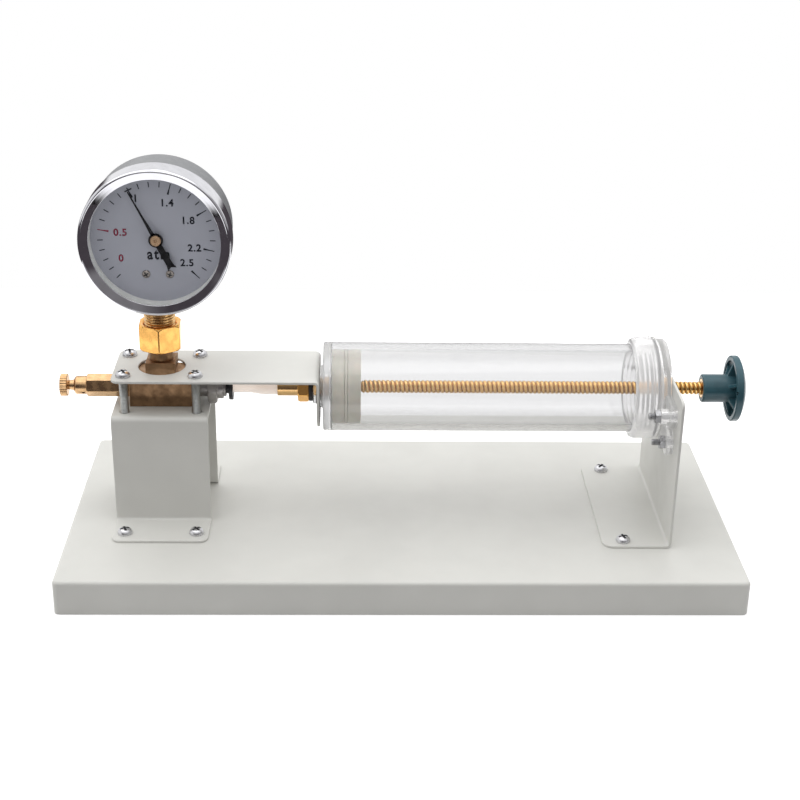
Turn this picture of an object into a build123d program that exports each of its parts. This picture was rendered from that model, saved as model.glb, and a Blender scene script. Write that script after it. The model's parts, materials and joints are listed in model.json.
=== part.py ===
from build123d import *
from math import acos, atan2, cos, degrees, hypot, pi, radians, sin
import os

# Boyle's law apparatus. X runs along the cylinder from the gauge to the hand knob, Y to the back, Z up.
# The origin is on the table, under the middle of the base. Millimetres throughout.

# base
base_width = 140.0
base_height = 16.0
base_sheet = 1.2
base_corner = 2.5
base_edge = 1.6

# bent sheet of the tower, the top plate and the end bracket
sheet = 1.2
bend = 1.2  # inside radius of a bend
past = 1.0  # how far a cutting shape runs past the face that it cuts

# the line on which tower, gauge, fittings, cylinder and rod stand
line_y = 3.0
axis_height = 59.6  # of the cylinder's axis above the base

# tower
tower_inset = 42.0  # middle of the tower from the left end of the base
tower_width = 43.0
tower_depth = 38.0
tower_foot = 20.0
foot_corner = 4.0
foot_screw_pitch = 32.0
foot_screw_offset = 32.0

# top plate
plate_width = 36.6
plate_reach = 21.0  # to the left of the tower's middle
plate_corner = 4.0
column_hole_radius = 10.5
post_pitch_x = 32.0
post_pitch_y = 24.0

# brass manifold
manifold_left_reach = 14.4  # from the tower's middle
manifold_right_reach = 13.5
manifold_depth = 13.0
manifold_height = 16.1
manifold_axis_height = 7.6  # of the cylinder's axis above its underside
column_side = 13.2
column_rise = 3.8  # above the top plate
passage_radius = 2.0
port_radius = 4.0
port_depth = 5.5

# union between manifold and gauge
neck_radius = 5.2
neck_length = 5.5
collar_radius = 6.2
collar_height = 2.4
seal_height = 1.0
union_flats = 18.0
union_height = 12.0
union_lip = 2.0
union_mouth = 1.0  # turned off the bore's top edge
union_turn = 32.5
stem_radius = 6.95

# pressure gauge
gauge_above_union = 41.8  # centre of the dial above the top of the union nut
gauge_shift = 1.6  # of the gauge case to the right of its stem
bezel_radius = 32.5
bezel_opening = 28.0
bezel_front = -15.0
bezel_back = -2.5
bezel_wall = 0.5
bezel_fit = 0.1  # between the bezel and what it holds
bezel_lip = 1.6
bezel_edge = 0.4  # turned off at the back
bezel_shoulder = 1.6  # length of the rounded front edge
bezel_shoulder_drop = 1.0
bezel_crown = 0.35  # fall of the front face towards the dial
bezel_face_inset = 2.2  # from the opening to the flat of the front face
bezel_clearance = 0.3  # round the stem
case_radius = 31.0
case_wall = 0.7
case_back = 18.0
case_back_rounding = 4.0
case_back_cut = 1.2  # of the three-sided rounding
case_flange = 1.0  # inwards, behind the dial
glass_thickness = 2.0
dial_ring_depth = 4.9
dial_ring_inset = 0.4  # behind the bezel's opening
dial_thickness = 0.8
dial_hole_radius = 2.0
dial_screw_x = 5.1
dial_screw_drop = 16.0
dial_screw_head_radius = 1.8
dial_screw_head_height = 0.9
dial_screw_radius = 0.8
dial_screw_length = 3.1
socket_width = 12.0
socket_depth = 8.0
socket_drop = 21.0  # top of the socket below the dial's centre
socket_clearance = 1.0  # below the socket, inside the case
tube_ring_radius = 23.0
tube_thickness = 2.6
tube_breadth = 6.0
tube_roundness = 0.9  # corner radius as a share of half the thickness
tube_start = 255.0
tube_end = -18.0
tip_block_wall = 1.0
tip_block_length = 3.0
lug_radius = 1.5

# gauge movement
gear_module = 0.25
pinion_teeth = 12
sector_teeth = 96
teeth_left = 5
teeth_right = 7
gear_thickness = 1.0
tooth_thinning = 0.72  # of the tooth, for backlash
tooth_depth = 1.3  # below the pitch circle, in modules
tooth_height = 0.85
root_depth = 1.2
pinion_overhang = 1.2  # of the pinion past the sector
sector_hub_radius = 2.0
movement_spacer = 1.5  # dial to movement
movement_plate = 1.0
movement_gap = 5.0
movement_width = 19.0
movement_clearance = 0.4  # to the tube
movement_foot = 2.0  # of the front plate below the socket's top
gear_offset = 1.8  # gear behind the front plate
arbor_radius = 0.75
arbor_recess = 0.1  # of an arbor's end from the face of its plate
pillar_radius = 1.2
pillar_x = 7.2
pillar_high = 3.0
pillar_low = 2.5  # below the sector's arbor
tail_length = 5.5
tail_width = 2.6
tail_swing = 21.0
link_thickness = 0.8
link_width = 4.0
link_gap = 0.4  # to the sector
link_screw_radius = 1.3
link_screw_head = 0.7
slot_play = 0.3  # beyond the pin's swing, at each end of the link's slot
slot_side_play = 0.15
pin_radius = 0.6
pin_recess = 0.1
spring_inner_radius = 1.3
spring_strip = 0.25
spring_pitch = 0.7
spring_half_turns = 8
spring_breadth = 0.8
spring_gap = 0.3  # to the back plate
collet_play = 0.2
stud_radius = 0.6
stud_offset = 0.95  # beyond the spring's last half turn
pointer_length = 24.0
pointer_half_width = 1.5
pointer_tip = 0.35
pointer_tail = 14.5
pointer_tail_half = 1.3
pointer_flare_half = 2.1
pointer_flare = 2.0
pointer_boss_radius = 3.15
pointer_thickness = 0.4
pointer_gap = 2.6  # pointer's front to the dial
pointer_rest_angle = 117.0  # one atmosphere, from the right-hand end of a level line
pointer_hub_radius = 2.35
pointer_hub_height = 1.2
hub_neck_radius = 1.4
hub_dial_gap = 0.5
hub_wall = 0.6  # in front of the arbor

# bleed valve
valve_flats = 9.0
valve_hex_length = 19.6
valve_collar_length = 5.6
valve_collar_radius = 4.15
valve_turn = -17.4
valve_collar_edge = 0.8
valve_mouth = 1.0
valve_stem_radius = 2.5
valve_neck = 3.0
valve_knob_radius = 5.0
valve_knob_length = 3.4
valve_knob_edge = 0.35
valve_tip_radius = 0.9
valve_tip_length = 1.2
valve_tip_gap = 0.1
valve_pad_gap = 0.3
valve_pad_length = 2.2
valve_seat_radius = 1.25
valve_chamber_depth = 16.6
vent_hole_radius = 0.7
vent_hole_turn = -53.0  # from straight down to the front
vent_hole_inset = 1.4  # from the hexagon

# push-in fitting, hose and hose nipple
fitting_neck_length = 7.0
fitting_neck_radius = 4.8
fitting_flats = 14.0
fitting_hex_length = 4.1
fitting_turn = 30.0
fitting_round_radius = 5.8
fitting_round_length = 2.8
fitting_lip_radius = 4.75
fitting_lip_length = 1.2
fitting_counterbore = 3.0
release_neck_radius = 3.5
release_neck_length = 1.4
release_insert = 2.5
release_flange_radius = 6.3
release_flange_length = 1.8
hose_radius = 3.0
hose_bore = 1.9
hose_insert = 12.0
hose_free_length = 20.0  # from the release collar to the nipple's shoulder
hose_end_gap = 0.1
hose_stretch = 0.85
hose_stretch_run = 5.0
nipple_body_length = 9.2
nipple_radius = 4.4
nipple_bore = 1.5
barb_length = 10.0
barb_start = 3.0  # from the tip
barb_root = 2.05
barb_crest = 2.7
barb_count = 3
barb_share = 0.8  # of a barb's pitch that its slope takes
nipple_lead = 2.5  # plain tip in front of the barbs, which start this much later
nipple_tip_wall = 0.35
nipple_recess = 0.8  # of its end in the end wall
nipple_nut_flats = 12.5
nipple_nut_turn = -15.8
nipple_nut_length = 5.0
rubber_washer_radius = 6.75
rubber_washer_length = 1.8
clear_washer_radius = 8.0
clear_washer_rounding = 0.8
clear_washer_length = 2.0

# cylinder
cylinder_length = 148.5
cylinder_radius = 20.0
bore_radius = 17.0
end_wall = 3.4
boss_radius = 9.7
boss_length = 1.5
cylinder_edge = 0.8

# end cap
cap_overlap = 9.7  # over the end of the cylinder
cap_height = 6.3  # from the cylinder's end to the bracket
cap_radius = 23.0
cap_step = 1.2  # from the cylinder's end to the smaller diameter
cap_step_radius = 22.5
cap_plate = 3.0
cap_rounding = 2.4
cap_inner_rounding = 0.3  # share of the rounding at its middle point
cap_edge = 0.6
cap_fit = 0.3  # round the cylinder
cap_end_gap = 0.4
ear_root = 2.0  # of an ear inside the cap's rim
ear_radius = 5.5
ear_pitch_radius = 31.0
ear_drop_angle = 27.0
ear_boss_length = 6.7
ear_boss_radius = 3.4
cap_screw_radius = 1.5
cap_screw_length = 13.0
cap_short_screw_length = 10.0
cap_screw_head_radius = 2.8
cap_screw_head_height = 1.8
cap_nut_flats = 5.5
cap_nut_height = 2.4

# end bracket
bracket_inset = 30.7  # its inner face from the right end of the base
bracket_width = 80.0
bracket_rise = 11.4  # above the cylinder's axis
bracket_foot = 30.5
bracket_corner = 5.0
bracket_top_corner = 3.0
bracket_screw_inset = 19.8  # from its inner face
bracket_screw_y = 35.0
rod_hole_gap = 0.6  # round the rod in the bracket

# piston, rod and knob
piston_start = 0.4  # gap to the end wall when the piston is fully in
piston_length = 13.1
piston_clearance = 0.05
ring_section = 1.5
ring_clearance = 0.02
ring_groove_play = 0.1
ring_roundness = 0.45
piston_edge = 0.4
rod_radius = 3.0
rod_gap = 0.3
rod_edge = 0.6
journal_radius = 2.0
retainer_radius = 4.0
retainer_length = 2.4
retainer_inset = 1.5
retainer_edge = 0.3
retainer_pocket_radius = 5.0
rod_nut_radius = 5.0
rod_nut_flange_radius = 7.0
rod_nut_flange_length = 1.7
knob_clear_length = 16.3  # of bare rod between bracket and knob
knob_hub_radius = 6.4
knob_hub_edge = 0.4
knob_rib_inset = 11.2
knob_radius = 15.0
knob_hub_length = 13.2  # that stands out of the rim
knob_rim_thickness = 3.0
knob_crown = 3.5
knob_rim_wall = 2.2
knob_web = 2.5
knob_edge = 0.6
knob_bite = 0.5  # of hub and ribs into the disc
knob_rib = 1.6
knob_rib_drop = 0.8
knob_rib_root = 2.0
knob_ribs = 6
insert_radius = 4.4
insert_length = 9.7

# screws and nuts
screw_radius = 2.0
screw_head_radius = 3.7
screw_head_height = 2.6
head_rounding = 0.62  # share of a head's height
recess_length = 1.15  # share of a head's radius
recess_width = 0.24
recess_floor = 0.45  # share of a head's height
thread_edge = 0.3  # share of a thread's radius turned off at its end
corner_turning = 0.7  # share of a hexagon's points turned off
nut_flats = 7.0
nut_height = 3.2
screw_overhang = 1.2  # of a screw end past its nut
hole_gap = 0.2  # round a screw in sheet
fit_gap = 0.05  # round a screw in a nut, a shaft in a bush

# places worked out from the sizes above, along X from the tower's middle to the right end of the base
fitting_length = fitting_neck_length + fitting_hex_length + fitting_round_length + fitting_lip_length
release_length = release_neck_length + release_flange_length
nipple_stack = nipple_body_length + nipple_nut_length + rubber_washer_length + clear_washer_length
tower_to_hose = manifold_right_reach + fitting_length + release_length
tower_to_cylinder = tower_to_hose + hose_free_length + nipple_stack + sheet + boss_length
tower_to_bracket = tower_to_cylinder + cylinder_length + cap_height
base_length = tower_inset + tower_to_bracket + bracket_inset
tower_x = tower_inset - base_length / 2
cylinder_left = tower_x + tower_to_cylinder
cylinder_right = cylinder_left + cylinder_length
cap_left = cylinder_right - cap_overlap
cap_bracket_face = cylinder_right + cap_height
manifold_left = tower_x - manifold_left_reach
manifold_right = tower_x + manifold_right_reach
plate_left = tower_x - plate_reach
base_top = base_height
axis_z = base_top + axis_height
bracket_height = axis_height + bracket_rise
tower_height = axis_height - manifold_axis_height
tower_top = base_top + tower_height
manifold_top = tower_top + manifold_height
plate_top = manifold_top + sheet
column_top = plate_top + column_rise
union_bottom = column_top + neck_length
union_top = union_bottom + union_height
gauge_z = union_top + gauge_above_union
gauge_x = tower_x + gauge_shift
glass_front = bezel_front + bezel_lip
ring_front = glass_front + glass_thickness
dial_front = ring_front + dial_ring_depth
dial_back = dial_front + dial_thickness
front_plate_y = dial_back + movement_spacer
back_plate_y = front_plate_y + movement_plate + movement_gap
sector_drop = gear_module * (pinion_teeth + sector_teeth) / 2
gear_y = front_plate_y + movement_plate + gear_offset
spring_y = back_plate_y - spring_gap - spring_breadth
link_y = gear_y - gear_thickness / 2 - link_gap - link_thickness
pointer_front = dial_front - pointer_gap
hub_front = pointer_front - pointer_hub_height
socket_top = gauge_z - socket_drop
stem_neck_radius = line_y - bezel_back - bezel_clearance  # it just clears the back of the bezel
tongue_right = cylinder_left - boss_length
tongue_left = tongue_right - sheet
clear_washer_left = tongue_left - clear_washer_length
rubber_washer_left = clear_washer_left - rubber_washer_length
nipple_nut_left = rubber_washer_left - nipple_nut_length
nipple_body_left = nipple_nut_left - nipple_body_length
fitting_hex_left = manifold_right + fitting_neck_length
fitting_round_left = fitting_hex_left + fitting_hex_length
fitting_lip_left = fitting_round_left + fitting_round_length
release_left = fitting_lip_left + fitting_lip_length
release_flange_left = release_left + release_neck_length
valve_hex_left = manifold_left - valve_hex_length
valve_left = valve_hex_left - valve_collar_length
valve_knob_right = valve_left - valve_neck
valve_seat_x = valve_left + valve_chamber_depth
piston_left = cylinder_left + end_wall + piston_start
piston_right = piston_left + piston_length
retainer_right = piston_left + retainer_length + 2 * rod_gap + retainer_inset
rod_start = piston_right + rod_gap
cap_plate_left = cap_bracket_face - cap_plate
bracket_outside = cap_bracket_face + sheet
bracket_screw_x = cap_bracket_face - bracket_screw_inset
knob_left = bracket_outside + knob_clear_length
knob_rim_x = knob_left + knob_hub_length
rod_end = knob_left + insert_length


def save(shape, node):
    shape.label = node
    export_step(shape, "parts/" + node + ".step")


def brick(x_from, x_to, y_from, y_to, z_from, z_to):
    size = Box(x_to - x_from, y_to - y_from, z_to - z_from)
    return Pos((x_from + x_to) / 2, (y_from + y_to) / 2, (z_from + z_to) / 2) * size


def turned(outline):
    # A solid of revolution about X, from (place along X, radius) points.
    return revolve(make_face(Polyline(*outline, close=True)), Axis.X)


def on_line(shape):
    return Pos(0, line_y, axis_z) * shape


def on_gauge(shape):
    # Turns the shape's X axis to the back and carries it to the middle of the dial.
    return Pos(gauge_x, 0, gauge_z) * Rot(0, 0, 90) * shape


def rod_between(radius, x_from, x_to):
    return Pos((x_from + x_to) / 2, 0, 0) * Rot(0, 90, 0) * Cylinder(radius, x_to - x_from)


def post_between(radius, z_from, z_to, x=0.0, y=0.0):
    return Pos(x, y, (z_from + z_to) / 2) * Cylinder(radius, z_to - z_from)


def depth_rod(radius, y_from, y_to, x=0.0, z=0.0):
    return Pos(x, (y_from + y_to) / 2, z) * Rot(90, 0, 0) * Cylinder(radius, y_to - y_from)


def hexagon_bar(flats, length):
    # A bar along Z from 0, with its corners turned off at both ends.
    corner = flats / 3 ** 0.5
    bar = extrude(RegularPolygon(flats / 2, 6, major_radius=False), length)
    blank = post_between(corner, 0, length)
    return bar & chamfer(blank.edges().filter_by(GeomType.CIRCLE), (corner - flats / 2) * corner_turning)


def hexagon_along_x(flats, x_from, x_to, turn=0.0):
    return Pos(x_from, 0, 0) * Rot(turn, 0, 0) * Rot(0, 90, 0) * hexagon_bar(flats, x_to - x_from)


def nut(flats, height, thread_radius):
    return hexagon_bar(flats, height) - post_between(thread_radius + fit_gap, -past, height + past)


def pan_screw(head_radius, head_height, thread_radius, length):
    # The seat of the head is at Z 0 and the shank points down.
    head = post_between(head_radius, 0, head_height)
    head = fillet(head.edges().sort_by(Axis.Z)[-1], head_height * head_rounding)
    slot = Box(head_radius * recess_length, head_radius * recess_width, head_height)
    recess = slot + Rot(0, 0, 90) * slot
    shank = post_between(thread_radius, -length, 0)
    shank = chamfer(shank.edges().sort_by(Axis.Z)[0], thread_radius * thread_edge)
    return head - Pos(0, 0, head_height * (recess_floor + 0.5)) * recess + shank


def bent_sheet(route, width):
    # A strip of sheet along a bent route in the XY plane, then extruded to its width.
    corner = bend + sheet / 2
    path = FilletPolyline(*route, radius=corner)
    return extrude(trace(path, sheet), width / 2, both=True)


# base

def foot_screw_places():
    half_x = foot_screw_pitch / 2
    return [
        (tower_x + sx * half_x, line_y + sy * foot_screw_offset)
        for sx in (-1, 1)
        for sy in (-1, 1)
    ]


def bracket_screw_places():
    return [(bracket_screw_x, side * bracket_screw_y) for side in (-1, 1)]


def make_base_tray():
    outside = Pos(0, 0, base_height / 2) * Box(base_length, base_width, base_height)
    outside = fillet(outside.edges().filter_by(Axis.Z), base_corner)
    outside = fillet(outside.faces().sort_by(Axis.Z)[-1].edges(), base_edge)
    inner_length = base_length - 2 * base_sheet
    inner_width = base_width - 2 * base_sheet
    inner_height = base_height - base_sheet
    inside = Pos(0, 0, inner_height / 2) * Box(inner_length, inner_width, inner_height)
    inside = fillet(inside.edges().filter_by(Axis.Z), base_corner - base_sheet)
    inside = fillet(inside.faces().sort_by(Axis.Z)[-1].edges(), base_edge - base_sheet)
    tray = outside - inside
    for x, y in foot_screw_places() + bracket_screw_places():
        tray -= post_between(screw_radius + hole_gap, 0, base_height + past, x, y)
    return tray


def clamped_length(plates):
    return plates + nut_height + screw_overhang


def make_foot_screws(places):
    screw = pan_screw(
        screw_head_radius, screw_head_height, screw_radius, clamped_length(sheet + base_sheet)
    )
    return Compound(children=[Pos(x, y, base_top + sheet) * screw for x, y in places])


def make_foot_nuts(places):
    one = nut(nut_flats, nut_height, screw_radius)
    seat = base_top - base_sheet - nut_height
    return Compound(children=[Pos(x, y, seat) * one for x, y in places])


# tower

def post_places():
    return [
        (tower_x + sx * post_pitch_x / 2, line_y + sy * post_pitch_y / 2)
        for sx in (-1, 1)
        for sy in (-1, 1)
    ]


def make_tower_bracket():
    half = tower_depth / 2 - sheet / 2
    low = sheet / 2
    high = tower_height - sheet / 2
    reach = tower_depth / 2 + tower_foot
    route = [(-reach, low), (-half, low), (-half, high), (half, high), (half, low), (reach, low)]
    hat = Plane.YZ.location * bent_sheet(route, tower_width)
    hat = Pos(tower_x, line_y, base_top) * hat
    ends = hat.edges().filter_by(Axis.Z).sort_by(Axis.Y)
    hat = fillet(ends[:2] + ends[-2:], foot_corner)
    for x, y in foot_screw_places():
        hat -= post_between(screw_radius + hole_gap, base_top - past, base_top + sheet + past, x, y)
    for x, y in post_places():
        hat -= post_between(screw_radius + hole_gap, tower_top - sheet - past, tower_top + past, x, y)
    return hat


def make_top_plate():
    mid_z = manifold_top + sheet / 2
    mid_x = tongue_left + sheet / 2
    bottom = axis_z - plate_width / 2 - past
    route = [(plate_left, mid_z), (mid_x, mid_z), (mid_x, bottom)]
    plate = Pos(0, line_y, 0) * Rot(90, 0, 0) * bent_sheet(route, plate_width)
    ends = plate.edges().filter_by(Axis.Z).sort_by(Axis.X)
    plate = fillet(ends[:2], plate_corner)
    half = plate_width / 2
    span = (plate_left - past, tongue_right + past)
    round_end = on_line(rod_between(half, *span))
    above = brick(*span, line_y - half, line_y + half, axis_z, plate_top + past)
    plate = plate & (round_end + above)
    cut = (manifold_top - past, plate_top + past)
    plate -= post_between(column_hole_radius, *cut, tower_x, line_y)
    for x, y in post_places():
        plate -= post_between(screw_radius + hole_gap, *cut, x, y)
    return plate - on_line(rod_between(nipple_radius + hole_gap, tongue_left - past, tongue_right + past))


def make_post_screws():
    length = plate_top - tower_top + clamped_length(sheet)
    screw = pan_screw(screw_head_radius, screw_head_height, screw_radius, length)
    return Compound(children=[Pos(x, y, plate_top) * screw for x, y in post_places()])


def make_post_nuts():
    one = nut(nut_flats, nut_height, screw_radius)
    seat = tower_top - sheet - nut_height
    return Compound(children=[Pos(x, y, seat) * one for x, y in post_places()])


# manifold and union

def make_manifold():
    half_y = manifold_depth / 2
    half_side = column_side / 2
    body = brick(
        manifold_left, manifold_right, line_y - half_y, line_y + half_y, tower_top, manifold_top
    )
    column = brick(
        tower_x - half_side, tower_x + half_side,
        line_y - half_side, line_y + half_side,
        tower_top, column_top,
    )
    body += column
    body -= on_line(rod_between(passage_radius, manifold_left - past, manifold_right + past))
    body -= post_between(passage_radius, axis_z, column_top + past, tower_x, line_y)
    body -= post_between(port_radius, column_top - port_depth, column_top + past, tower_x, line_y)
    body -= on_line(rod_between(port_radius, manifold_left - past, manifold_left + port_depth))
    return body - on_line(rod_between(port_radius, manifold_right - port_depth, manifold_right + past))


def make_union_tail():
    spigot = port_radius - fit_gap
    top = union_bottom + union_lip + collar_height
    outline = [
        (column_top - port_depth, passage_radius),
        (column_top - port_depth, spigot),
        (column_top, spigot),
        (column_top, neck_radius),
        (union_bottom + union_lip, neck_radius),
        (union_bottom + union_lip, collar_radius),
        (top, collar_radius),
        (top, passage_radius),
    ]
    return Pos(tower_x, line_y, 0) * Rot(0, -90, 0) * turned(outline)


def make_union_seal():
    low = union_bottom + union_lip + collar_height
    ring = post_between(collar_radius, low, low + seal_height)
    hole = post_between(passage_radius, low - past, low + seal_height + past)
    return Pos(tower_x, line_y, 0) * (ring - hole)


def make_union_nut():
    body = hexagon_bar(union_flats, union_height)
    body -= post_between(neck_radius + fit_gap, -past, union_height)
    bore = stem_radius + fit_gap
    body -= post_between(bore, union_lip, union_height + past)
    body -= Pos(0, 0, union_height - union_mouth / 2) * Cone(bore, bore + union_mouth, union_mouth)
    return Pos(tower_x, line_y, union_bottom) * Rot(0, 0, union_turn) * body


# pressure gauge

def tube_ring(grow):
    half_radial = tube_thickness / 2 + grow
    half_axial = tube_breadth / 2 + grow
    section = RectangleRounded(2 * half_axial, 2 * half_radial, half_radial * tube_roundness)
    section = Pos(line_y, tube_ring_radius) * section
    ring = revolve(section, Axis.X, revolution_arc=tube_start - tube_end)
    return on_gauge(Rot(180 - tube_start, 0, 0) * ring)


def make_gauge_stem():
    low = union_bottom + union_lip + collar_height + seal_height
    shoulder = gauge_z - bezel_radius - bezel_clearance
    block_low = gauge_z - case_radius + case_wall + socket_clearance
    half_x = socket_width / 2
    half_y = socket_depth / 2
    stem = post_between(stem_radius, low, shoulder, tower_x, line_y)
    stem += post_between(stem_neck_radius, shoulder, block_low + past, tower_x, line_y)
    stem += brick(
        gauge_x - half_x, gauge_x + half_x,
        line_y - half_y, line_y + half_y,
        block_low, socket_top,
    )
    stem -= tube_ring(fit_gap)
    return stem - post_between(passage_radius, low - past, gauge_z - tube_ring_radius, tower_x, line_y)


def make_gauge_case():
    inside = case_radius - case_wall
    outline = [
        (dial_back, inside - case_flange),
        (dial_back, glass_radius()),
        (dial_back + case_wall, glass_radius()),
        (dial_back + case_wall, case_radius),
        (case_back - case_back_rounding, case_radius),
        (case_back - case_back_cut, case_radius - case_back_cut),
        (case_back, case_radius - case_back_rounding),
        (case_back, 0),
        (case_back - case_wall, 0),
        (case_back - case_wall, inside - case_back_rounding + bezel_edge),
        (case_back - case_back_rounding, inside),
        (dial_back + case_wall, inside),
        (dial_back + case_wall, inside - case_flange),
    ]
    case = on_gauge(turned(outline))
    low = gauge_z - case_radius - past
    return case - post_between(stem_neck_radius + hole_gap, low, socket_top, tower_x, line_y)


def make_bezel():
    inside = bezel_radius - bezel_wall
    outline = [
        (bezel_back, case_radius + bezel_fit),
        (bezel_back, bezel_radius - bezel_edge),
        (bezel_back - bezel_edge, bezel_radius),
        (bezel_front + bezel_shoulder, bezel_radius),
        (bezel_front + bezel_shoulder * 0.4, bezel_radius - bezel_shoulder_drop * 0.25),
        (bezel_front, bezel_radius - bezel_shoulder_drop),
        (bezel_front + bezel_crown, bezel_opening + bezel_face_inset),
        (glass_front - bezel_wall, bezel_opening),
        (glass_front, bezel_opening),
        (glass_front, inside),
        (bezel_back - bezel_wall, inside),
        (bezel_back - bezel_wall, case_radius + bezel_fit),
    ]
    return on_gauge(turned(outline))


def glass_radius():
    # Everything that the bezel holds has this radius.
    return bezel_radius - bezel_wall - bezel_fit


def make_gauge_glass():
    return on_gauge(rod_between(glass_radius(), glass_front, ring_front))


def make_dial_ring():
    ring = rod_between(glass_radius(), ring_front, dial_front)
    hole = rod_between(bezel_opening + dial_ring_inset, ring_front - past, dial_front + past)
    return on_gauge(ring - hole)


def dial_screw_hole(y_from, y_to, side):
    return depth_rod(dial_screw_radius + fit_gap, y_from, y_to, side * dial_screw_x, -dial_screw_drop)


def make_dial():
    dial = depth_rod(glass_radius(), dial_front, dial_back)
    dial -= depth_rod(dial_hole_radius, dial_front - past, dial_back + past)
    for side in (-1, 1):
        dial -= dial_screw_hole(dial_front - past, dial_back + past, side)
    return Pos(gauge_x, 0, gauge_z) * dial


def make_dial_screws():
    screw = pan_screw(
        dial_screw_head_radius, dial_screw_head_height, dial_screw_radius, dial_screw_length
    )
    seat_z = gauge_z - dial_screw_drop
    spots = [Pos(gauge_x + side * dial_screw_x, dial_front, seat_z) for side in (-1, 1)]
    return Compound(children=[spot * Rot(90, 0, 0) * screw for spot in spots])


def make_bourdon_tube():
    return tube_ring(0)


def tip_place():
    angle = radians(tube_end)
    return tube_ring_radius * cos(angle), tube_ring_radius * sin(angle)


def link_pin_place():
    x, z = tip_place()
    angle = radians(tube_end)
    return x + lug_radius * sin(angle), z - lug_radius * cos(angle)


def tail_angle():
    # The tail stands square to the link when the gauge reads one atmosphere.
    x, z = link_pin_place()
    height = z + sector_drop
    return degrees(atan2(height, x) - acos(tail_length / hypot(x, height)))


def tail_place():
    angle = radians(tail_angle())
    return tail_length * cos(angle), tail_length * sin(angle) - sector_drop


def make_tube_tip():
    # The block brazed over the closed end of the tube, with a lug that carries the link.
    x, z = tip_place()
    wide = tube_thickness + 2 * tip_block_wall
    block = Pos(0, line_y, 0) * Box(wide, tube_breadth + tip_block_wall, tip_block_length)
    block = Pos(x, 0, z) * Rot(0, -tube_end, 0) * Pos(0, 0, -tip_block_length / 2 - fit_gap) * block
    lug = depth_rod(lug_radius, link_y + link_thickness, line_y, *link_pin_place())
    return Pos(gauge_x, 0, gauge_z) * (block + lug)


def make_tip_link():
    tip_x, tip_z = link_pin_place()
    tail_x, tail_z = tail_place()
    length = hypot(tip_x - tail_x, tip_z - tail_z)
    angle = degrees(atan2(tip_z - tail_z, tip_x - tail_x))
    swing = radians(tail_swing)
    slot_length = 2 * (tail_length * sin(swing) + pin_radius + slot_play)
    slot_width = 2 * (tail_length * (1 - cos(swing)) + pin_radius + slot_side_play)
    strip = Pos(length / 2, 0) * SlotCenterToCenter(length + slot_length, link_width)
    slot = SlotOverall(slot_length, slot_width)
    hole = Pos(length, 0) * Circle(pin_radius + fit_gap)
    link = extrude(strip - slot - hole, link_thickness)
    place = Pos(gauge_x + tail_x, link_y + link_thickness, gauge_z + tail_z)
    return place * Rot(0, -angle, 0) * Rot(90, 0, 0) * link


def make_link_screw():
    x, z = link_pin_place()
    shank = depth_rod(pin_radius, link_y, link_y + link_thickness, x, z)
    head = depth_rod(link_screw_radius, link_y - link_screw_head, link_y, x, z)
    return Pos(gauge_x, 0, gauge_z) * (shank + head)


def movement_outline(low):
    # A plate with a round top about the pinion, down to the given height below it.
    half = movement_width / 2
    plate = Circle(half) + Pos(0, low / 2) * Rectangle(movement_width, -low)
    return plate & Circle(tube_ring_radius - tube_thickness / 2 - movement_clearance)


def movement_holes(y_from, y_to):
    holes = depth_rod(arbor_radius + fit_gap, y_from, y_to)
    return holes + depth_rod(arbor_radius + fit_gap, y_from, y_to, 0, -sector_drop)


def pillar_places():
    # Two above and one at the lower left: the link needs the lower right.
    lower = -sector_drop - pillar_low
    return [(-pillar_x, pillar_high), (pillar_x, pillar_high), (-pillar_x, lower)]


def make_front_plate():
    face = movement_outline(-socket_drop - movement_foot)
    plate = Pos(0, front_plate_y + movement_plate, 0) * Rot(90, 0, 0) * extrude(face, movement_plate)
    for side in (-1, 1):
        plate += depth_rod(lug_radius, dial_back, front_plate_y, side * dial_screw_x, -dial_screw_drop)
        plate -= dial_screw_hole(dial_back - past, front_plate_y + movement_plate + past, side)
    plate -= movement_holes(front_plate_y - past, front_plate_y + movement_plate + past)
    return Pos(gauge_x, 0, gauge_z) * plate


def make_back_plate():
    face = movement_outline(-socket_drop)
    plate = Pos(0, back_plate_y + movement_plate, 0) * Rot(90, 0, 0) * extrude(face, movement_plate)
    plate -= movement_holes(back_plate_y - past, back_plate_y + movement_plate + past)
    stud_x = spring_inner_radius + spring_half_turns * spring_pitch / 2 + stud_offset
    plate += depth_rod(stud_radius, spring_y - arbor_recess, back_plate_y, stud_x)
    return Pos(gauge_x, 0, gauge_z) * plate


def make_plate_pillars():
    low = front_plate_y + movement_plate
    pillars = [depth_rod(pillar_radius, low, back_plate_y, x, z) for x, z in pillar_places()]
    return Compound(children=[Pos(gauge_x, 0, gauge_z) * pillar for pillar in pillars])


def gear_tooth(radius):
    # One tooth pointing up, on a pitch circle about the origin, thinned for backlash.
    half = pi * gear_module / 4 * tooth_thinning
    low = radius - tooth_depth * gear_module
    high = radius + tooth_height * gear_module
    points = [(-half * 1.5, low), (-half * 0.45, high), (half * 0.45, high), (half * 1.5, low)]
    return make_face(Polyline(*points, close=True))


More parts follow.
